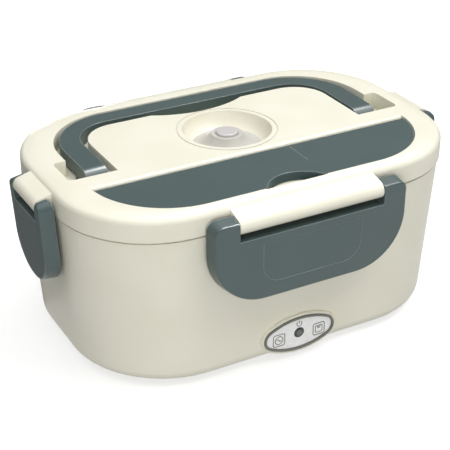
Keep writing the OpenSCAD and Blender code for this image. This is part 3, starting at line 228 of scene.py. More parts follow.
@dataclass(frozen=True)
class MouldedPlastic(Finish):
    """Injection-moulded plastic: even colour, faint flow clouds and a fine spark-eroded grain."""

    roughness: float
    grain_mm: float = 0.5
    grain_depth: float = 0.06
    grain_height_mm: float = 0.05
    edge_mm: float = 0.35
    edge_samples: int = 4
    cloud_mm: float = 26.0
    gloss_mm: float = 45.0
    gloss_spread: float = 0.03
    specular: float = 0.5
    ior: float = 1.49
    # Colour of the painted shade in narrow grooves, how near their walls stand, and the openness
    # at which the painted shade is full and at which it ends
    crevice_shade: str = ""
    crevice_mm: float = 1.4
    crevice_samples: int = 6
    crevice_open: tuple[float, float] = (0.1, 0.5)
    # Colour of the painted edge highlight, its share, the cosine of an edge's turn at which it
    # starts and is full, and how far up the surface looks where it starts and is full
    edge_highlight: str = ""
    edge_highlight_share: float = 0.75
    edge_highlight_samples: int = 8
    edge_highlight_turn: tuple[float, float] = (0.965, 0.84)
    edge_highlight_rise: tuple[float, float] = (-0.6, 0.9)

    def build(self) -> bpy.types.Material:
        """Makes the material.

        Returns:
            The finished material.
        """
        # Flow clouds have no fine octaves, which would read as dirt on a smooth moulding
        material, tree, shader, tone = self.ground(self.cloud_mm, detail=0.0)
        # Painted shade goes into the grooves, and painted highlights onto the upper edges
        if self.crevice_shade:
            self.paint_crevice_shade(tree, shader, tone)
        if self.edge_highlight:
            self.paint_edge_highlight(tree, shader, tone)
        sheen = patches(tree, self.gloss_mm, (self.roughness - self.gloss_spread,
                                              self.roughness + self.gloss_spread), detail=0.0)
        tree.links.new(sheen, shader.inputs["Roughness"])
        shader.inputs["Specular IOR Level"].default_value = self.specular
        shader.inputs["IOR"].default_value = self.ior
        # A moulded edge is never sharp, so it catches a thin light line
        edge = add_node(tree, "ShaderNodeBevel", {"samples": self.edge_samples},
                        values={"Radius": self.edge_mm * MM})
        # Grain is drawn at half a millimetre, about four times its real width, so that it shows
        grain = add_node(tree, "ShaderNodeBump",
                         links={"Height": mottle(tree, self.grain_mm, detail=2.0),
                                "Normal": edge.outputs["Normal"]},
                         values={"Strength": self.grain_depth,
                                 "Distance": self.grain_height_mm * MM})
        tree.links.new(grain.outputs["Normal"], shader.inputs["Normal"])
        return material

    def paint_crevice_shade(self, tree: bpy.types.NodeTree, shader: bpy.types.Node,
                        tone: bpy.types.NodeSocket) -> None:
        """Paints shade into the narrow grooves, where little light comes in.

        Args:
            tree: Node tree of the material.
            shader: Its Principled shader.
            tone: The open surface's colour.
        """
        # Painted shade: the colour darkens where ambient occlusion finds walls close by
        narrow = add_node(tree, "ShaderNodeAmbientOcclusion",
                          {"samples": self.crevice_samples, "only_local": True},
                          values={"Distance": self.crevice_mm * MM})
        shut, wide = self.crevice_open
        openness = add_node(tree, "ShaderNodeMapRange", links={"Value": narrow.outputs["AO"]},
                            values={"From Min": shut, "From Max": wide})
        mixed = add_node(tree, "ShaderNodeMix", {"data_type": "RGBA"},
                         {"Factor": openness.outputs["Result"], "B": tone},
                         {"A": srgb(self.crevice_shade)})
        tree.links.new(mixed.outputs["Result"], shader.inputs["Base Color"])

    def paint_edge_highlight(self, tree: bpy.types.NodeTree, shader: bpy.types.Node,
                     tone: bpy.types.NodeSocket) -> None:
        """Paints a highlight as a thin pale line along each edge, most on the upper side.

        Args:
            tree: Node tree of the material.
            shader: Its Principled shader.
            tone: The surface's colour without the painted highlight.
        """
        # Painted highlight: a pale line where the rounded normal turns from the surface's,
        # strongest where the surface faces up
        rounded = add_node(tree, "ShaderNodeBevel", {"samples": self.edge_highlight_samples},
                           values={"Radius": self.edge_mm * MM})
        surface = add_node(tree, "ShaderNodeNewGeometry")
        turned = add_node(tree, "ShaderNodeVectorMath", {"operation": "DOT_PRODUCT"},
                          {0: rounded.outputs["Normal"], 1: surface.outputs["Normal"]})
        slight, full = self.edge_highlight_turn
        near = add_node(tree, "ShaderNodeMapRange", links={"Value": turned.outputs["Value"]},
                        values={"From Min": slight, "From Max": full})
        place = add_node(tree, "ShaderNodeTexCoord")
        parts = add_node(tree, "ShaderNodeSeparateXYZ", links={"Vector": place.outputs["Normal"]})
        low, high = self.edge_highlight_rise
        upward = add_node(tree, "ShaderNodeMapRange", links={"Value": parts.outputs["Z"]},
                          values={"From Min": low, "From Max": high, "To Max": self.edge_highlight_share})
        highlighted = add_node(tree, "ShaderNodeMath", {"operation": "MULTIPLY"},
                        {0: near.outputs["Result"], 1: upward.outputs["Result"]})
        mixed = add_node(tree, "ShaderNodeMix", {"data_type": "RGBA"},
                         {"Factor": highlighted.outputs["Value"], "A": tone}, {"B": srgb(self.edge_highlight)})
        tree.links.new(mixed.outputs["Result"], shader.inputs["Base Color"])


@dataclass(frozen=True)
class CastSilicone(Finish):
    """Cast silicone rubber: milky, lets a little light in, with a powdery soft surface."""

    softness: float = 0.25
    reach: tuple[float, float, float] = (0.9, 0.8, 0.7)
    reach_mm: float = 2.0
    ior: float = 1.41
    bloom_mm: float = 9.0
    powder_mm: float = 1.2
    powder: tuple[float, float] = (0.42, 0.56)
    skin_mm: float = 0.7
    skin_depth: float = 0.08
    skin_height_mm: float = 0.08

    def build(self) -> bpy.types.Material:
        """Makes the material.

        Returns:
            The finished material.
        """
        material, tree, shader, _ = self.ground(self.bloom_mm)
        shader.inputs["Subsurface Weight"].default_value = self.softness
        shader.inputs["Subsurface Radius"].default_value = self.reach
        shader.inputs["Subsurface Scale"].default_value = self.reach_mm * MM
        shader.inputs["IOR"].default_value = self.ior
        powder = patches(tree, self.powder_mm, self.powder)
        tree.links.new(powder, shader.inputs["Roughness"])
        skin = add_node(tree, "ShaderNodeBump", links={"Height": mottle(tree, self.skin_mm)},
                        values={"Strength": self.skin_depth,
                                "Distance": self.skin_height_mm * MM})
        tree.links.new(skin.outputs["Normal"], shader.inputs["Normal"])
        return material


class Grain(Enum):
    """Direction in which a metal's brush lines run, as factors on the object coordinates."""

    ALONG_X = (0.03, 1.0, 1.0)
    ALONG_Y = (1.0, 0.03, 1.0)
    NONE = (1.0, 1.0, 1.0)


@dataclass(frozen=True)
class WorkedMetal(Finish):
    """Brushed, rolled or drawn metal: lines of one direction in its gloss, and handling marks."""

    roughness: float
    grain: Grain = Grain.ALONG_X
    line_mm: float = 0.35
    line_depth: float = 0.12
    line_height_mm: float = 0.03
    line_octaves: float = 2.0
    # How much glossier and how much rougher than its mean the metal gets
    glossier: float = 0.06
    rougher: float = 0.08
    mark_mm: float = 14.0

    def build(self) -> bpy.types.Material:
        """Makes the material.

        Returns:
            The finished material.
        """
        material, tree, shader, _ = self.ground(self.mark_mm)
        shader.inputs["Metallic"].default_value = 1.0
        span = (self.roughness - self.glossier, self.roughness + self.rougher)
        gloss = patches(tree, self.line_mm, span, self.grain.value, self.line_octaves)
        tree.links.new(gloss, shader.inputs["Roughness"])
        lines = mottle(tree, self.line_mm, self.grain.value, self.line_octaves)
        brushed = add_node(tree, "ShaderNodeBump", links={"Height": lines},
                           values={"Strength": self.line_depth,
                                   "Distance": self.line_height_mm * MM})
        tree.links.new(brushed.outputs["Normal"], shader.inputs["Normal"])
        return material


@dataclass(frozen=True)
class FrostedPlastic(Finish):
    """Translucent polypropylene: milky white, with light that comes through its thin walls."""

    clearness: float = 0.35
    ior: float = 1.49
    haze_mm: float = 18.0
    frost_mm: float = 3.0
    frost: tuple[float, float] = (0.32, 0.44)

    def build(self) -> bpy.types.Material:
        """Makes the material.

        Returns:
            The finished material.
        """
        material, tree, shader, _ = self.ground(self.haze_mm)
        shader.inputs["Transmission Weight"].default_value = self.clearness
        shader.inputs["IOR"].default_value = self.ior
        tree.links.new(patches(tree, self.frost_mm, self.frost), shader.inputs["Roughness"])
        return material


@dataclass(frozen=True)
class GlazedPlate(Finish):
    """Polycarbonate panel plate: white backing under a clear front, with dust-fine specks."""

    speck_mm: float = 2.5
    speck_edge: float = 0.4
    gloss_mm: float = 5.0
    gloss: tuple[float, float] = (0.22, 0.3)
    front: float = 0.3
    front_roughness: float = 0.12

    def build(self) -> bpy.types.Material:
        """Makes the material.

        Returns:
            The finished material.
        """
        material, tree, shader, _ = self.ground(self.speck_mm, edge=self.speck_edge)
        tree.links.new(patches(tree, self.gloss_mm, self.gloss), shader.inputs["Roughness"])
        shader.inputs["Coat Weight"].default_value = self.front
        shader.inputs["Coat Roughness"].default_value = self.front_roughness
        return material


@dataclass(frozen=True)
class SmokedLens:
    """Smoked acrylic over a light: a dark rim, and paler where the light sits behind it."""

    name: str
    rim: str
    middle: str
    radius_mm: float = 3.3
    # Where the rim's colour ends and the middle's starts, from 0 at the radius to 1 in the centre
    rim_end: float = 0.34
    middle_start: float = 0.62
    roughness: float = 0.16
    ior: float = 1.49

    def build(self) -> bpy.types.Material:
        """Makes the material.

        Returns:
            The finished material.
        """
        material, tree, shader = new_material(self.name)
        centre = (0.0, PANEL_FACE_Y * MM, PANEL_HEIGHT * MM)
        radius = self.radius_mm * MM
        place = add_node(tree, "ShaderNodeTexCoord")
        mapping = add_node(tree, "ShaderNodeMapping", {"vector_type": "TEXTURE"},
                           {"Vector": place.outputs["Object"]},
                           {"Location": centre, "Scale": (radius, 1.0, radius)})
        ball = add_node(tree, "ShaderNodeTexGradient", {"gradient_type": "SPHERICAL"},
                        {"Vector": mapping.outputs["Vector"]})
        ramp = add_node(tree, "ShaderNodeValToRGB", links={"Fac": ball.outputs["Fac"]})
        outer, inner = ramp.color_ramp.elements
        outer.position, outer.color = self.rim_end, srgb(self.rim)
        inner.position, inner.color = self.middle_start, srgb(self.middle)
        tree.links.new(ramp.outputs["Color"], shader.inputs["Base Color"])
        shader.inputs["Roughness"].default_value = self.roughness
        shader.inputs["IOR"].default_value = self.ior
        return material


@dataclass(frozen=True)
class EtchedLaminate:
    """Glass-fibre circuit board: green lacquer over copper tracks in both directions."""

    name: str
    lacquer: str
    track: str
    pitch_mm: float = 4.0
    track_share: float = 0.06
    stagger: float = 0.35
    gloss_mm: float = 2.0
    gloss: tuple[float, float] = (0.3, 0.42)

    def build(self) -> bpy.types.Material:
        """Makes the material.

        Returns:
            The finished material.
        """
        material, tree, shader = new_material(self.name)
        place = add_node(tree, "ShaderNodeTexCoord")
        brick = add_node(tree, "ShaderNodeTexBrick", {"offset": self.stagger},
                         {"Vector": place.outputs["Object"]},
                         {"Scale": per_mm(self.pitch_mm), "Mortar Size": self.track_share,
                          "Color1": srgb(self.lacquer), "Color2": srgb(self.lacquer),
                          "Mortar": srgb(self.track)})
        tree.links.new(brick.outputs["Color"], shader.inputs["Base Color"])
        tree.links.new(patches(tree, self.gloss_mm, self.gloss), shader.inputs["Roughness"])
        return material


class Stock(Enum):
    """Every finish in the box, by the part that it dresses."""

    # Housing: satin cream with painted shade in its grooves, and glossier grey with painted
    # highlights along its edges
    CREAM = MouldedPlastic("cream_abs_plastic", "#f1eedd", "#eeebd9", 0.4, specular=0.3,
                           crevice_shade="#6a675e")
    GREY = MouldedPlastic("grey_green_polypropylene", "#4c5d5c", "#4a5b5a", 0.28,
                          grain_depth=0.012, edge_mm=0.7, gloss_spread=0.006, specular=0.45,
                          edge_highlight="#ccd6d4")
    # Smaller mouldings, each with its own gloss
    LINER = MouldedPlastic("white_polypropylene_liner", "#e9e9e4", "#e3e3de", 0.4)
    BUTTON = MouldedPlastic("vent_button_plastic", "#d0cdcc", "#cac7c6", 0.34)
    BEZEL = MouldedPlastic("bezel_plastic", "#77776d", "#6f6f66", 0.34, edge_mm=0.25)
    INLET = MouldedPlastic("black_pbt_inlet", "#242728", "#2b2e2f", 0.45)
    BOX_LID = MouldedPlastic("white_box_lid_plastic", "#eef1f1", "#e6eaea", 0.38)
    # Coarser and more matt: pressed resin, fired ceramic, rubber and printed ink
    PHENOLIC = MouldedPlastic("brown_phenolic", "#5b4636", "#4e3b2d", 0.6, grain_mm=0.4,
                              grain_depth=0.2)
    CERAMIC = MouldedPlastic("steatite_ceramic", "#d8d3c4", "#cdc7b6", 0.7, grain_mm=0.4,
                             grain_depth=0.2)
    RUBBER = MouldedPlastic("nitrile_rubber_feet", "#3a3d3c", "#444746", 0.75, grain_mm=0.6,
                            grain_depth=0.3)
    INK = MouldedPlastic("grey_pad_print_ink", "#6e6f6a", "#676863", 0.6)
    POWER_INK = MouldedPlastic("dark_pad_print_ink", "#4a4c49", "#444643", 0.6)
    # Soft and see-through materials
    SILICONE = CastSilicone("milky_silicone", "#cbc9c2", "#c2c0b9")
    BOX = FrostedPlastic("frosted_polypropylene", "#e4e8e8", "#dbe0e0")
    PLATE = GlazedPlate("polycarbonate_panel", "#fcfcfa", "#f8f8f5")
    LENS = SmokedLens("smoked_acrylic_lens", "#262a28", "#666c68")
    BOARD = EtchedLaminate("circuit_laminate", "#1f5a37", "#3f8558")
    # Metals
    TRAY = WorkedMetal("brushed_stainless_steel", "#c9cbcd", "#bfc2c5", 0.3)
    SPOON = WorkedMetal("polished_stainless_steel", "#d2d3d5", "#c8cacc", 0.14, Grain.NONE,
                        line_mm=0.8, line_depth=0.02)
    ALUMINIUM = WorkedMetal("rolled_aluminium", "#d0d2d4", "#c3c6c9", 0.38, line_mm=0.5)
    HEATER = WorkedMetal("folded_heater_case", "#b6b3ab", "#a8a59c", 0.42, Grain.ALONG_Y)
    ZINC = WorkedMetal("zinc_plated_steel", "#b4b7ba", "#a7abaf", 0.34, Grain.NONE, line_mm=1.2)
    BRASS = WorkedMetal("turned_brass", "#d8b868", "#c9a85a", 0.25, Grain.NONE, line_mm=0.6)


class Wardrobe:
    """Builds each finish once and hands it out."""

    def __init__(self) -> None:
        """Starts with no material made."""
        self._made: dict[str, bpy.types.Material] = {}

    def get(self, stock: Stock) -> bpy.types.Material:
        """Gives the material of a finish, made at its first use.

        Args:
            stock: Finish that is wanted.

        Returns:
            Its material.
        """
        if stock.name not in self._made:
            self._made[stock.name] = stock.value.build()
        return self._made[stock.name]


def soften(shape: bmesh.types.BMesh, under: float) -> None:
    """Shades a shape smooth, and keeps its strong edges sharp.

    Args:
        shape: The shape.
        under: Angle in degrees below which an edge is shaded smooth.
    """
    for face in shape.faces:
        face.smooth = True
    for edge in shape.edges:
        shared = len(edge.link_faces) == 2
        edge.smooth = shared and edge.calc_face_angle(math.pi) < math.radians(under)


def closed_mesh(shape: bmesh.types.BMesh, name: str) -> bpy.types.Mesh:
    """Turns a shape into a mesh, and frees the shape.

    Args:
        shape: The shape.
        name: Name of the mesh.

    Returns:
        The mesh.
    """
    mesh = bpy.data.meshes.new(name)
    shape.to_mesh(mesh)
    shape.free()
    return mesh


@dataclass
class Assembly:
    """Shared work of all sub-assemblies: skins over CAD nodes, and new pieces."""

    wardrobe: Wardrobe
    frame: dict
    pieces: list[str] = field(default_factory=list)

    def paint(self, node: str, stock: Stock) -> None:
        """Gives a CAD node its finish.

        Args:
            node: Name of the node.
            stock: Finish for it.
        """
        part = self.frame["nodes"][node]
        part.data.materials.clear()
        part.data.materials.append(self.wardrobe.get(stock))
        self.pieces.append(node)

    def add_piece(self, name: str, mesh: bpy.types.Mesh, body: str, slot: str,
                  stock: Stock) -> bpy.types.Object:
        """Links a new piece, finishes it and lets it ride on its body.

        Args:
            name: Name of the piece.
            mesh: Its mesh, in place.
            body: Body that it rides on.
            slot: Not used.
            stock: Finish for it.

        Returns:
            The piece.
        """
        piece = bpy.data.objects.new(name, mesh)
        bpy.context.scene.collection.objects.link(piece)
        mesh.materials.clear()
        mesh.materials.append(self.wardrobe.get(stock))
        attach(piece, body)
        self.pieces.append(name)
        return piece

    def shell_over(self, node: str, body: str, slot: str, stock: Stock) -> None:
        """Puts a smoothly shaded skin in the place of a CAD node.

        Args:
            node: Node that the skin stands for.
            body: Body that it rides on.
            slot: Slot of the record that its finish belongs to.
            stock: Finish for it.
        """
        shape = bmesh.new()
        shape.from_mesh(self.frame["nodes"][node].data)
        bmesh.ops.remove_doubles(shape, verts=shape.verts, dist=0.002 * MM)
        bmesh.ops.dissolve_degenerate(shape, edges=shape.edges, dist=0.001 * MM)
        soften(shape, SKIN_CREASE)
        mesh = closed_mesh(shape, node + "_skin")
        piece = self.add_piece(node + "_skin", mesh, body, slot, stock)
        even = piece.modifiers.new("even_shading", "WEIGHTED_NORMAL")
        even.keep_sharp = True
        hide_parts(node)


@dataclass
class BaseUnit(Assembly):
    """Drafted base with its floor, well, feet and screws."""

    def build(self) -> None:
        """Dresses every node of the base's housing."""
        self.shell_over("base_shell", "base", "cream_plastic", Stock.CREAM)
        self.shell_over("inner_liner", "base", "liner_plastic", Stock.LINER)
        self.shell_over("bottom_cover", "base", "cream_plastic", Stock.CREAM)
        self.shell_over("rubber_feet", "base", "foot_rubber", Stock.RUBBER)
        self.paint("cover_screws", Stock.ZINC)


@dataclass
class HeatingUnit(Assembly):
    """Heating plate, heaters and safety devices under the well."""

    def build(self) -> None:
        """Dresses every node of the heating unit."""
        self.shell_over("heating_plate", "base", "plate_aluminium", Stock.ALUMINIUM)
        for node in ("ac_heater", "dc_heater"):
            self.paint(node, Stock.HEATER)
        for node in ("heater_clamp", "clamp_screws"):
            self.paint(node, Stock.ZINC)
        self.paint("thermostat", Stock.PHENOLIC)
        self.paint("thermal_fuse", Stock.CERAMIC)


@dataclass
class PowerInlets(Assembly):
    """Mains and low-voltage inlets in the back wall."""

    def build(self) -> None:
        """Dresses both inlets and their contacts."""
        for node in ("ac_inlet", "dc_inlet"):
            self.shell_over(node, "base", "inlet_plastic", Stock.INLET)
        for node in ("ac_pins", "dc_pin"):
            self.shell_over(node, "base", "contact_brass", Stock.BRASS)


@dataclass
class IndicatorPanel(Assembly):
    """Oval panel with its ring, plate, lamp and printed marks; all sizes are in millimetres."""

    # Framed marks on both sides of the lamp
    mark_x: float = 12.2
    mark_drop: float = 1.3
    mark_width: float = 7.4
    mark_height: float = 7.5
    mark_corner: float = 1.4
    frame_line: float = 0.48
    # Lines inside the marks
    bold_line: float = 0.45
    fine_line: float = 0.42
    # Ring and wave of the mains mark
    ring_radius: float = 2.35
    wave_radius: float = 0.75
    # Square of the car mark, with the width and place of its two bars
    square: float = 4.6
    square_corner: float = 0.9
    bars: tuple[tuple[float, float], ...] = ((2.6, 1.25), (2.0, 0.55))
    # Power mark above the lamp: an open ring and a stroke; the angles are in degrees
    power_rise: float = 5.4
    power_radius: float = 1.5
    power_start: float = 125.0
    power_sweep: float = 290.0
    power_stroke: float = 1.8
    power_stroke_y: float = 1.0
    # Thickness of the ink, and how finely its outlines are drawn
    ink: float = 0.05
    corner_steps: int = 6
    bar_corner: float = 0.45
    bar_steps: int = 3
    arc_step: float = 10.0
    fewest_steps: int = 8

    def place(self, shape: bmesh.types.BMesh, x: float, z: float) -> None:
        """Stands a flat mark up on the plate's face.

        Args:
            shape: Mark drawn on XY, with its back at height zero.
            x: Place along the plate.
            z: Place above the plate's middle.
        """
        stand = Matrix.Translation(Vector((x, PANEL_FACE_Y, PANEL_HEIGHT + z)) * MM) \
            @ Matrix.Rotation(math.radians(90), 4, "X") @ Matrix.Scale(MM, 4)
        bmesh.ops.transform(shape, matrix=stand, verts=shape.verts)

    def stroke(self, shape: bmesh.types.BMesh, faces: Iterable[bmesh.types.BMFace],
               width: float) -> None:
        """Leaves only a line of the given width along the outline of a flat face.

        Args:
            shape: The bmesh that holds the face.
            faces: The face to draw round.
            width: Width of the line.
        """
        inner = list(faces)
        bmesh.ops.inset_region(shape, faces=inner, thickness=width, use_boundary=True,
                               use_even_offset=True)
        bmesh.ops.delete(shape, geom=inner, context="FACES")

    def slab(self, width: float, height: float, corner: float, steps: int) -> bmesh.types.BMesh:
        """Draws a flat rounded rectangle.

        Args:
            width: Width of the rectangle.
            height: Height of the rectangle.
            corner: Corner radius.
            steps: Edges in each corner.

        Returns:
            The flat shape.
        """
        shape = bmesh.new()
        bmesh.ops.create_grid(shape, x_segments=1, y_segments=1, size=0.5)
        bmesh.ops.scale(shape, vec=(width, height, 1), verts=shape.verts)
        bmesh.ops.bevel(shape, geom=shape.verts, offset=corner, offset_type="OFFSET",
                        segments=steps, profile=0.5, affect="VERTICES", material=-1)
        return shape

    def rounded_frame(self, width: float, height: float, corner: float,
                      line: float) -> bmesh.types.BMesh:
        """Draws the outline of a rounded rectangle.

        Args:
            width: Outer width.
            height: Outer height.
            corner: Outer corner radius.
            line: Width of the line.

        Returns:
            The flat outline.
        """
        shape = self.slab(width, height, corner, self.corner_steps)
        self.stroke(shape, shape.faces, line)
        return shape

    def arc(self, radius: float, line: float, start: float = 0.0, sweep: float = 360.0,
            x: float = 0.0) -> bmesh.types.BMesh:
        """Draws a line along an arc or a full circle.

        Args:
            radius: Radius of the middle of the line.
            line: Width of the line.
            start: Angle where the arc starts, in degrees.
            sweep: Angle that the arc covers, in degrees.
            x: Centre of the arc.

        Returns:
            The flat arc.
        """
        shape = bmesh.new()
        ends = [shape.verts.new((radius + side * line / 2, 0, 0)) for side in (-1, 1)]
        profile = [*ends, shape.edges.new(ends)]
        turn = Matrix.Rotation(math.radians(start), 3, "Z")
        bmesh.ops.rotate(shape, cent=(0, 0, 0), matrix=turn, verts=ends)
        bmesh.ops.spin(shape, geom=profile, cent=(0, 0, 0), axis=(0, 0, 1),
                       angle=math.radians(sweep),
                       steps=max(self.fewest_steps, round(sweep / self.arc_step)),
                       use_merge=sweep >= 360.0)
        bmesh.ops.translate(shape, vec=(x, 0, 0), verts=shape.verts)
        return shape

    def bar(self, width: float, height: float, y: float) -> bmesh.types.BMesh:
        """Draws a short bar with round ends.

        Args:
            width: Width of the bar.
            height: Height of the bar.
            y: Centre of the bar.

        Returns:
            The flat bar.
        """
        shape = self.slab(width, height, min(width, height) * self.bar_corner, self.bar_steps)
        bmesh.ops.translate(shape, vec=(0, y, 0), verts=shape.verts)
        return shape

    def print_mark(self, name: str, parts: list[bmesh.types.BMesh], x: float, z: float,
                   stock: Stock) -> None:
        """Gives flat drawings the thickness of ink and puts them on the plate.

        Args:
            name: Name of the mark.
            parts: Flat drawings that make up the mark.
            x: Place along the plate.
            z: Place above the plate's middle.
            stock: Ink for the mark.
        """
        whole = bmesh.new()
        for part in parts:
            sheet = closed_mesh(part, name + "_sheet")
            whole.from_mesh(sheet)
            bpy.data.meshes.remove(sheet)
        raised = bmesh.ops.extrude_face_region(whole, geom=whole.faces[:])
        lifted = [v for v in raised["geom"] if isinstance(v, bmesh.types.BMVert)]
        bmesh.ops.translate(whole, vec=(0, 0, self.ink), verts=lifted)
        self.place(whole, x, z)
        bmesh.ops.remove_doubles(whole, verts=whole.verts, dist=0.001 * MM)
        bmesh.ops.recalc_face_normals(whole, faces=whole.faces)
        soften(whole, MARK_CREASE)
        self.add_piece(name, closed_mesh(whole, name), "base", "bezel_plastic", stock)

    def mains_mark(self) -> list[bmesh.types.BMesh]:
        """Draws a frame round a circle with a wave.

        Returns:
            The flat drawings of the mark.
        """
        radius, line = self.wave_radius, self.fine_line
        return [self.rounded_frame(self.mark_width, self.mark_height, self.mark_corner,
                                   self.frame_line),
                self.arc(self.ring_radius, self.bold_line),
                self.arc(radius, line, 0.0, 180.0, -radius),
                self.arc(radius, line, 180.0, 180.0, radius)]

    def car_mark(self) -> list[bmesh.types.BMesh]:
        """Draws a frame round a square with two bars.

        Returns:
            The flat drawings of the mark.
        """
        return [self.rounded_frame(self.mark_width, self.mark_height, self.mark_corner,
                                   self.frame_line),
                self.rounded_frame(self.square, self.square, self.square_corner, self.bold_line),
                *(self.bar(width, self.fine_line, y) for width, y in self.bars)]

    def power_mark(self) -> list[bmesh.types.BMesh]:
        """Draws an open ring with a stroke."""
        return [self.arc(self.power_radius, self.fine_line, self.power_start, self.power_sweep),
                self.bar(self.fine_line, self.power_stroke, self.power_stroke_y)]

    def build(self) -> None:
        """Dresses the panel and prints its marks."""
        self.shell_over("panel_bezel", "base", "bezel_plastic", Stock.BEZEL)
        self.shell_over("panel_plate", "base", "panel_plastic", Stock.PLATE)
        self.shell_over("led_lens", "base", "lens_plastic", Stock.LENS)
        self.paint("led_board", Stock.BOARD)
        self.print_mark("mains_mark", self.mains_mark(), -self.mark_x, -self.mark_drop, Stock.INK)
        self.print_mark("car_mark", self.car_mark(), self.mark_x, -self.mark_drop, Stock.INK)
        self.print_mark("power_mark", self.power_mark(), 0.0, self.power_rise, Stock.POWER_INK)


@dataclass
class FoodContainers(Assembly):
    """Steel tray, small lidded box and spoon."""

    def build(self) -> None:
        """Dresses the containers."""
        self.shell_over("food_tray", "tray", "tray_steel", Stock.TRAY)
        self.shell_over("small_box", "inner_box", "clear_box_plastic", Stock.BOX)
        self.shell_over("small_box_lid", "inner_box_lid", "box_lid_plastic", Stock.BOX_LID)
        self.shell_over("small_box_seal", "inner_box_lid", "silicone", Stock.SILICONE)
        self.shell_over("spoon", "cutlery", "spoon_steel", Stock.SPOON)


@dataclass
class LidUnit(Assembly):
    """Lid with its inner pan, seal, steam vent, handle and cutlery cover."""

    def build(self) -> None:
        """Dresses the lid and what it carries."""
        self.shell_over("lid_shell", "lid", "cream_plastic", Stock.CREAM)
        self.shell_over("lid_liner", "lid", "liner_plastic", Stock.LINER)
        self.shell_over("lid_seal", "lid", "silicone", Stock.SILICONE)
        self.shell_over("vent_seat", "lid", "silicone", Stock.SILICONE)
        self.shell_over("vent_plug", "plug", "vent_button", Stock.BUTTON)
        self.shell_over("cutlery_cover", "cutlery_lid", "grey_plastic", Stock.GREY)
        self.shell_over("carry_handle", "handle", "grey_plastic", Stock.GREY)


@dataclass
class LatchSet(Assembly):
    """The four latches that hold the lid down."""

    def build(self) -> None:
        """Dresses the four latches."""
        for side in ("front", "back", "left", "right"):
            self.shell_over("latch_" + side, side + "_latch", "grey_plastic", Stock.GREY)


@dataclass(frozen=True)
class StudioPaint(Finish):
    """Matt paint of the table and dome: pale, with wide faint clouds and a light of its own."""

    glow: float
    cloud_mm: float = 400.0
    roughness: float = 0.7

    def build(self) -> bpy.types.Material:
        """Makes the material.

        Returns:
            The finished material.
        """
        material, _, shader, _ = self.ground(self.cloud_mm)
        shader.inputs["Roughness"].default_value = self.roughness
        shader.inputs["Emission Color"].default_value = srgb("#ffffff")
        shader.inputs["Emission Strength"].default_value = self.glow
        return material


@dataclass(frozen=True)
class SoftLight:
    """Square soft light that the camera doesn't see: its side, watts, place and target.

    One that isn't mirrored stays out of reflections; one that isn't scattered shows in
    reflections alone.
    """

    name: str
    side: float
    watts: float
    at: tuple[float, float, float]
    mirrored: bool = True
    scattered: bool = True
    target: tuple[float, float, float] = (0.0, 0.0, 0.05)

    def hang(self) -> None:
        """Adds the light to the scene, turned to its target."""
        data = bpy.data.lights.new(self.name, "AREA")
        data.shape = "SQUARE"
        data.size = self.side
        data.energy = self.watts
        lamp = bpy.data.objects.new(self.name, data)
        lamp.location = self.at
        aim = Vector(self.target) - Vector(self.at)
        lamp.rotation_euler = aim.to_track_quat("-Z", "Y").to_euler()
        lamp.visible_camera = False
        lamp.visible_glossy = self.mirrored
        lamp.visible_diffuse = self.scattered
        bpy.context.scene.collection.objects.link(lamp)


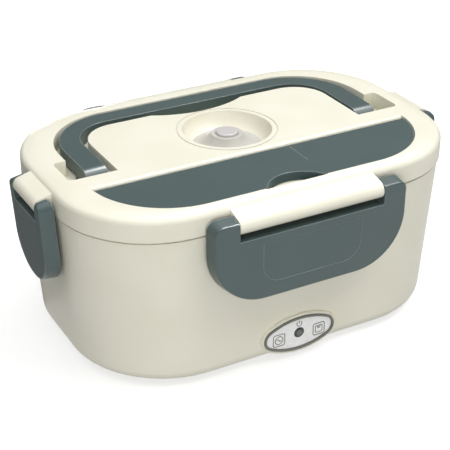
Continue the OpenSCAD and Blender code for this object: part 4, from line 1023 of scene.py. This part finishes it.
@dataclass
class Studio:
    """White table, soft lights and the camera."""

    # Camera: its lens and sensor in millimetres, its place, and its angles in degrees
    lens: float = 98.86
    sensor: float = 36.0
    nearest: float = 0.01
    eye: tuple[float, float, float] = (-0.29497, -0.52910, 0.37282)
    pitch: float = 28.501
    heading: float = 28.723
    # Table and dome share their paint, so that no horizon shows between them
    paint: tuple[str, str] = ("#c8c8c7", "#c5c5c4")
    glow: float = 0.6
    reach: float = 6.0
    # How far behind the middle of the box the table's two halves meet
    split: float = 0.04
    dome_sides: int = 48
    dome_rings: int = 24
    room_light: float = 0.249
    lights: tuple[SoftLight, ...] = (
        SoftLight("overhead", 2.4, 24.5, (0.0, 0.0, 1.8)),
        # Draws the thin light lines along the grey mouldings' edges
        SoftLight("key_right", 0.8, 9.0, (0.68, -0.3, 1.35)),
        # Shows only as the bright glints on the ears and the handle's knuckles
        SoftLight("glint", 0.3, 26.0, (0.6, 0.3, 1.38), scattered=False),
        # Left out of reflections: it would glare off the flat lid when that is seen from behind
        SoftLight("low_left", 0.6, 5.4, (-0.45, -0.95, 0.2), mirrored=False),
        # Stands lower than the lid's top, so that it fills the back wall alone
        SoftLight("back_low", 0.09, 1.6, (0.25, 1.1, 0.048)))

    def dress(self, shape: bmesh.types.BMesh, name: str, mirrored: bool) -> bpy.types.Object:
        """Turns a shape into a piece of the studio that throws no light on the object.

        Args:
            shape: Shape of the piece; it is freed here.
            name: Name of the piece.
            mirrored: Whether glossy surfaces mirror it.

        Returns:
            The piece.
        """
        mesh = closed_mesh(shape, name)
        stage = bpy.data.objects.new(name, mesh)
        bpy.context.scene.collection.objects.link(stage)
        mesh.materials.append(StudioPaint(name + "_paint", *self.paint, self.glow).build())
        stage.visible_diffuse = False
        stage.visible_glossy = mirrored
        return stage

    def floor(self) -> None:
        """Lays a wide pale table in two halves; the back one is kept out of reflections."""
        for name, side in (("table_front", -1), ("table_back", 1)):
            shape = bmesh.new()
            bmesh.ops.create_grid(shape, x_segments=1, y_segments=1, size=self.reach)
            shift = side * self.reach + self.split
            bmesh.ops.translate(shape, vec=(0.0, shift, 0.0), verts=shape.verts)
            self.dress(shape, name, mirrored=side < 0)

    def backdrop(self) -> None:
        """Closes the studio with a pale dome that casts no shadow."""
        shape = bmesh.new()
        bmesh.ops.create_uvsphere(shape, u_segments=self.dome_sides,
                                  v_segments=self.dome_rings, radius=self.reach)
        bmesh.ops.reverse_faces(shape, faces=shape.faces)
        dome = self.dress(shape, "dome", mirrored=False)
        dome.visible_shadow = False
        dome.visible_transmission = False

    def light(self) -> None:
        """Sets the even light of the room, and hangs the soft lights."""
        world = bpy.data.worlds.new("studio")
        world.use_nodes = True
        room = world.node_tree.nodes["Background"]
        room.inputs["Color"].default_value = srgb("#ffffff")
        room.inputs["Strength"].default_value = self.room_light
        bpy.context.scene.world = world
        for lamp in self.lights:
            lamp.hang()

    def camera(self) -> None:
        """Places the camera."""
        data = bpy.data.cameras.new("camera")
        data.lens = self.lens
        data.sensor_width = self.sensor
        data.clip_start = self.nearest
        camera = bpy.data.objects.new("camera", data)
        camera.location = self.eye
        camera.rotation_euler = (math.radians(90 - self.pitch), 0.0, math.radians(-self.heading))
        bpy.context.scene.collection.objects.link(camera)
        bpy.context.scene.camera = camera

    def build(self) -> None:
        """Sets up the whole studio."""
        self.floor()
        self.backdrop()
        self.light()
        self.camera()
        bpy.context.scene.view_settings.view_transform = "Standard"


def main() -> None:
    """Builds the scene in order and logs the pieces of each assembly."""
    logging.basicConfig(level=logging.INFO, format="%(name)s: %(message)s")
    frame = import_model()
    wardrobe = Wardrobe()
    for unit in (BaseUnit, HeatingUnit, PowerInlets, IndicatorPanel, FoodContainers, LidUnit,
                 LatchSet):
        assembly = unit(wardrobe, frame)
        assembly.build()
        for piece in assembly.pieces:
            LOG.info("%s: %s", unit.__name__, piece)
    Studio().build()


if __name__ == "__main__":
    main()
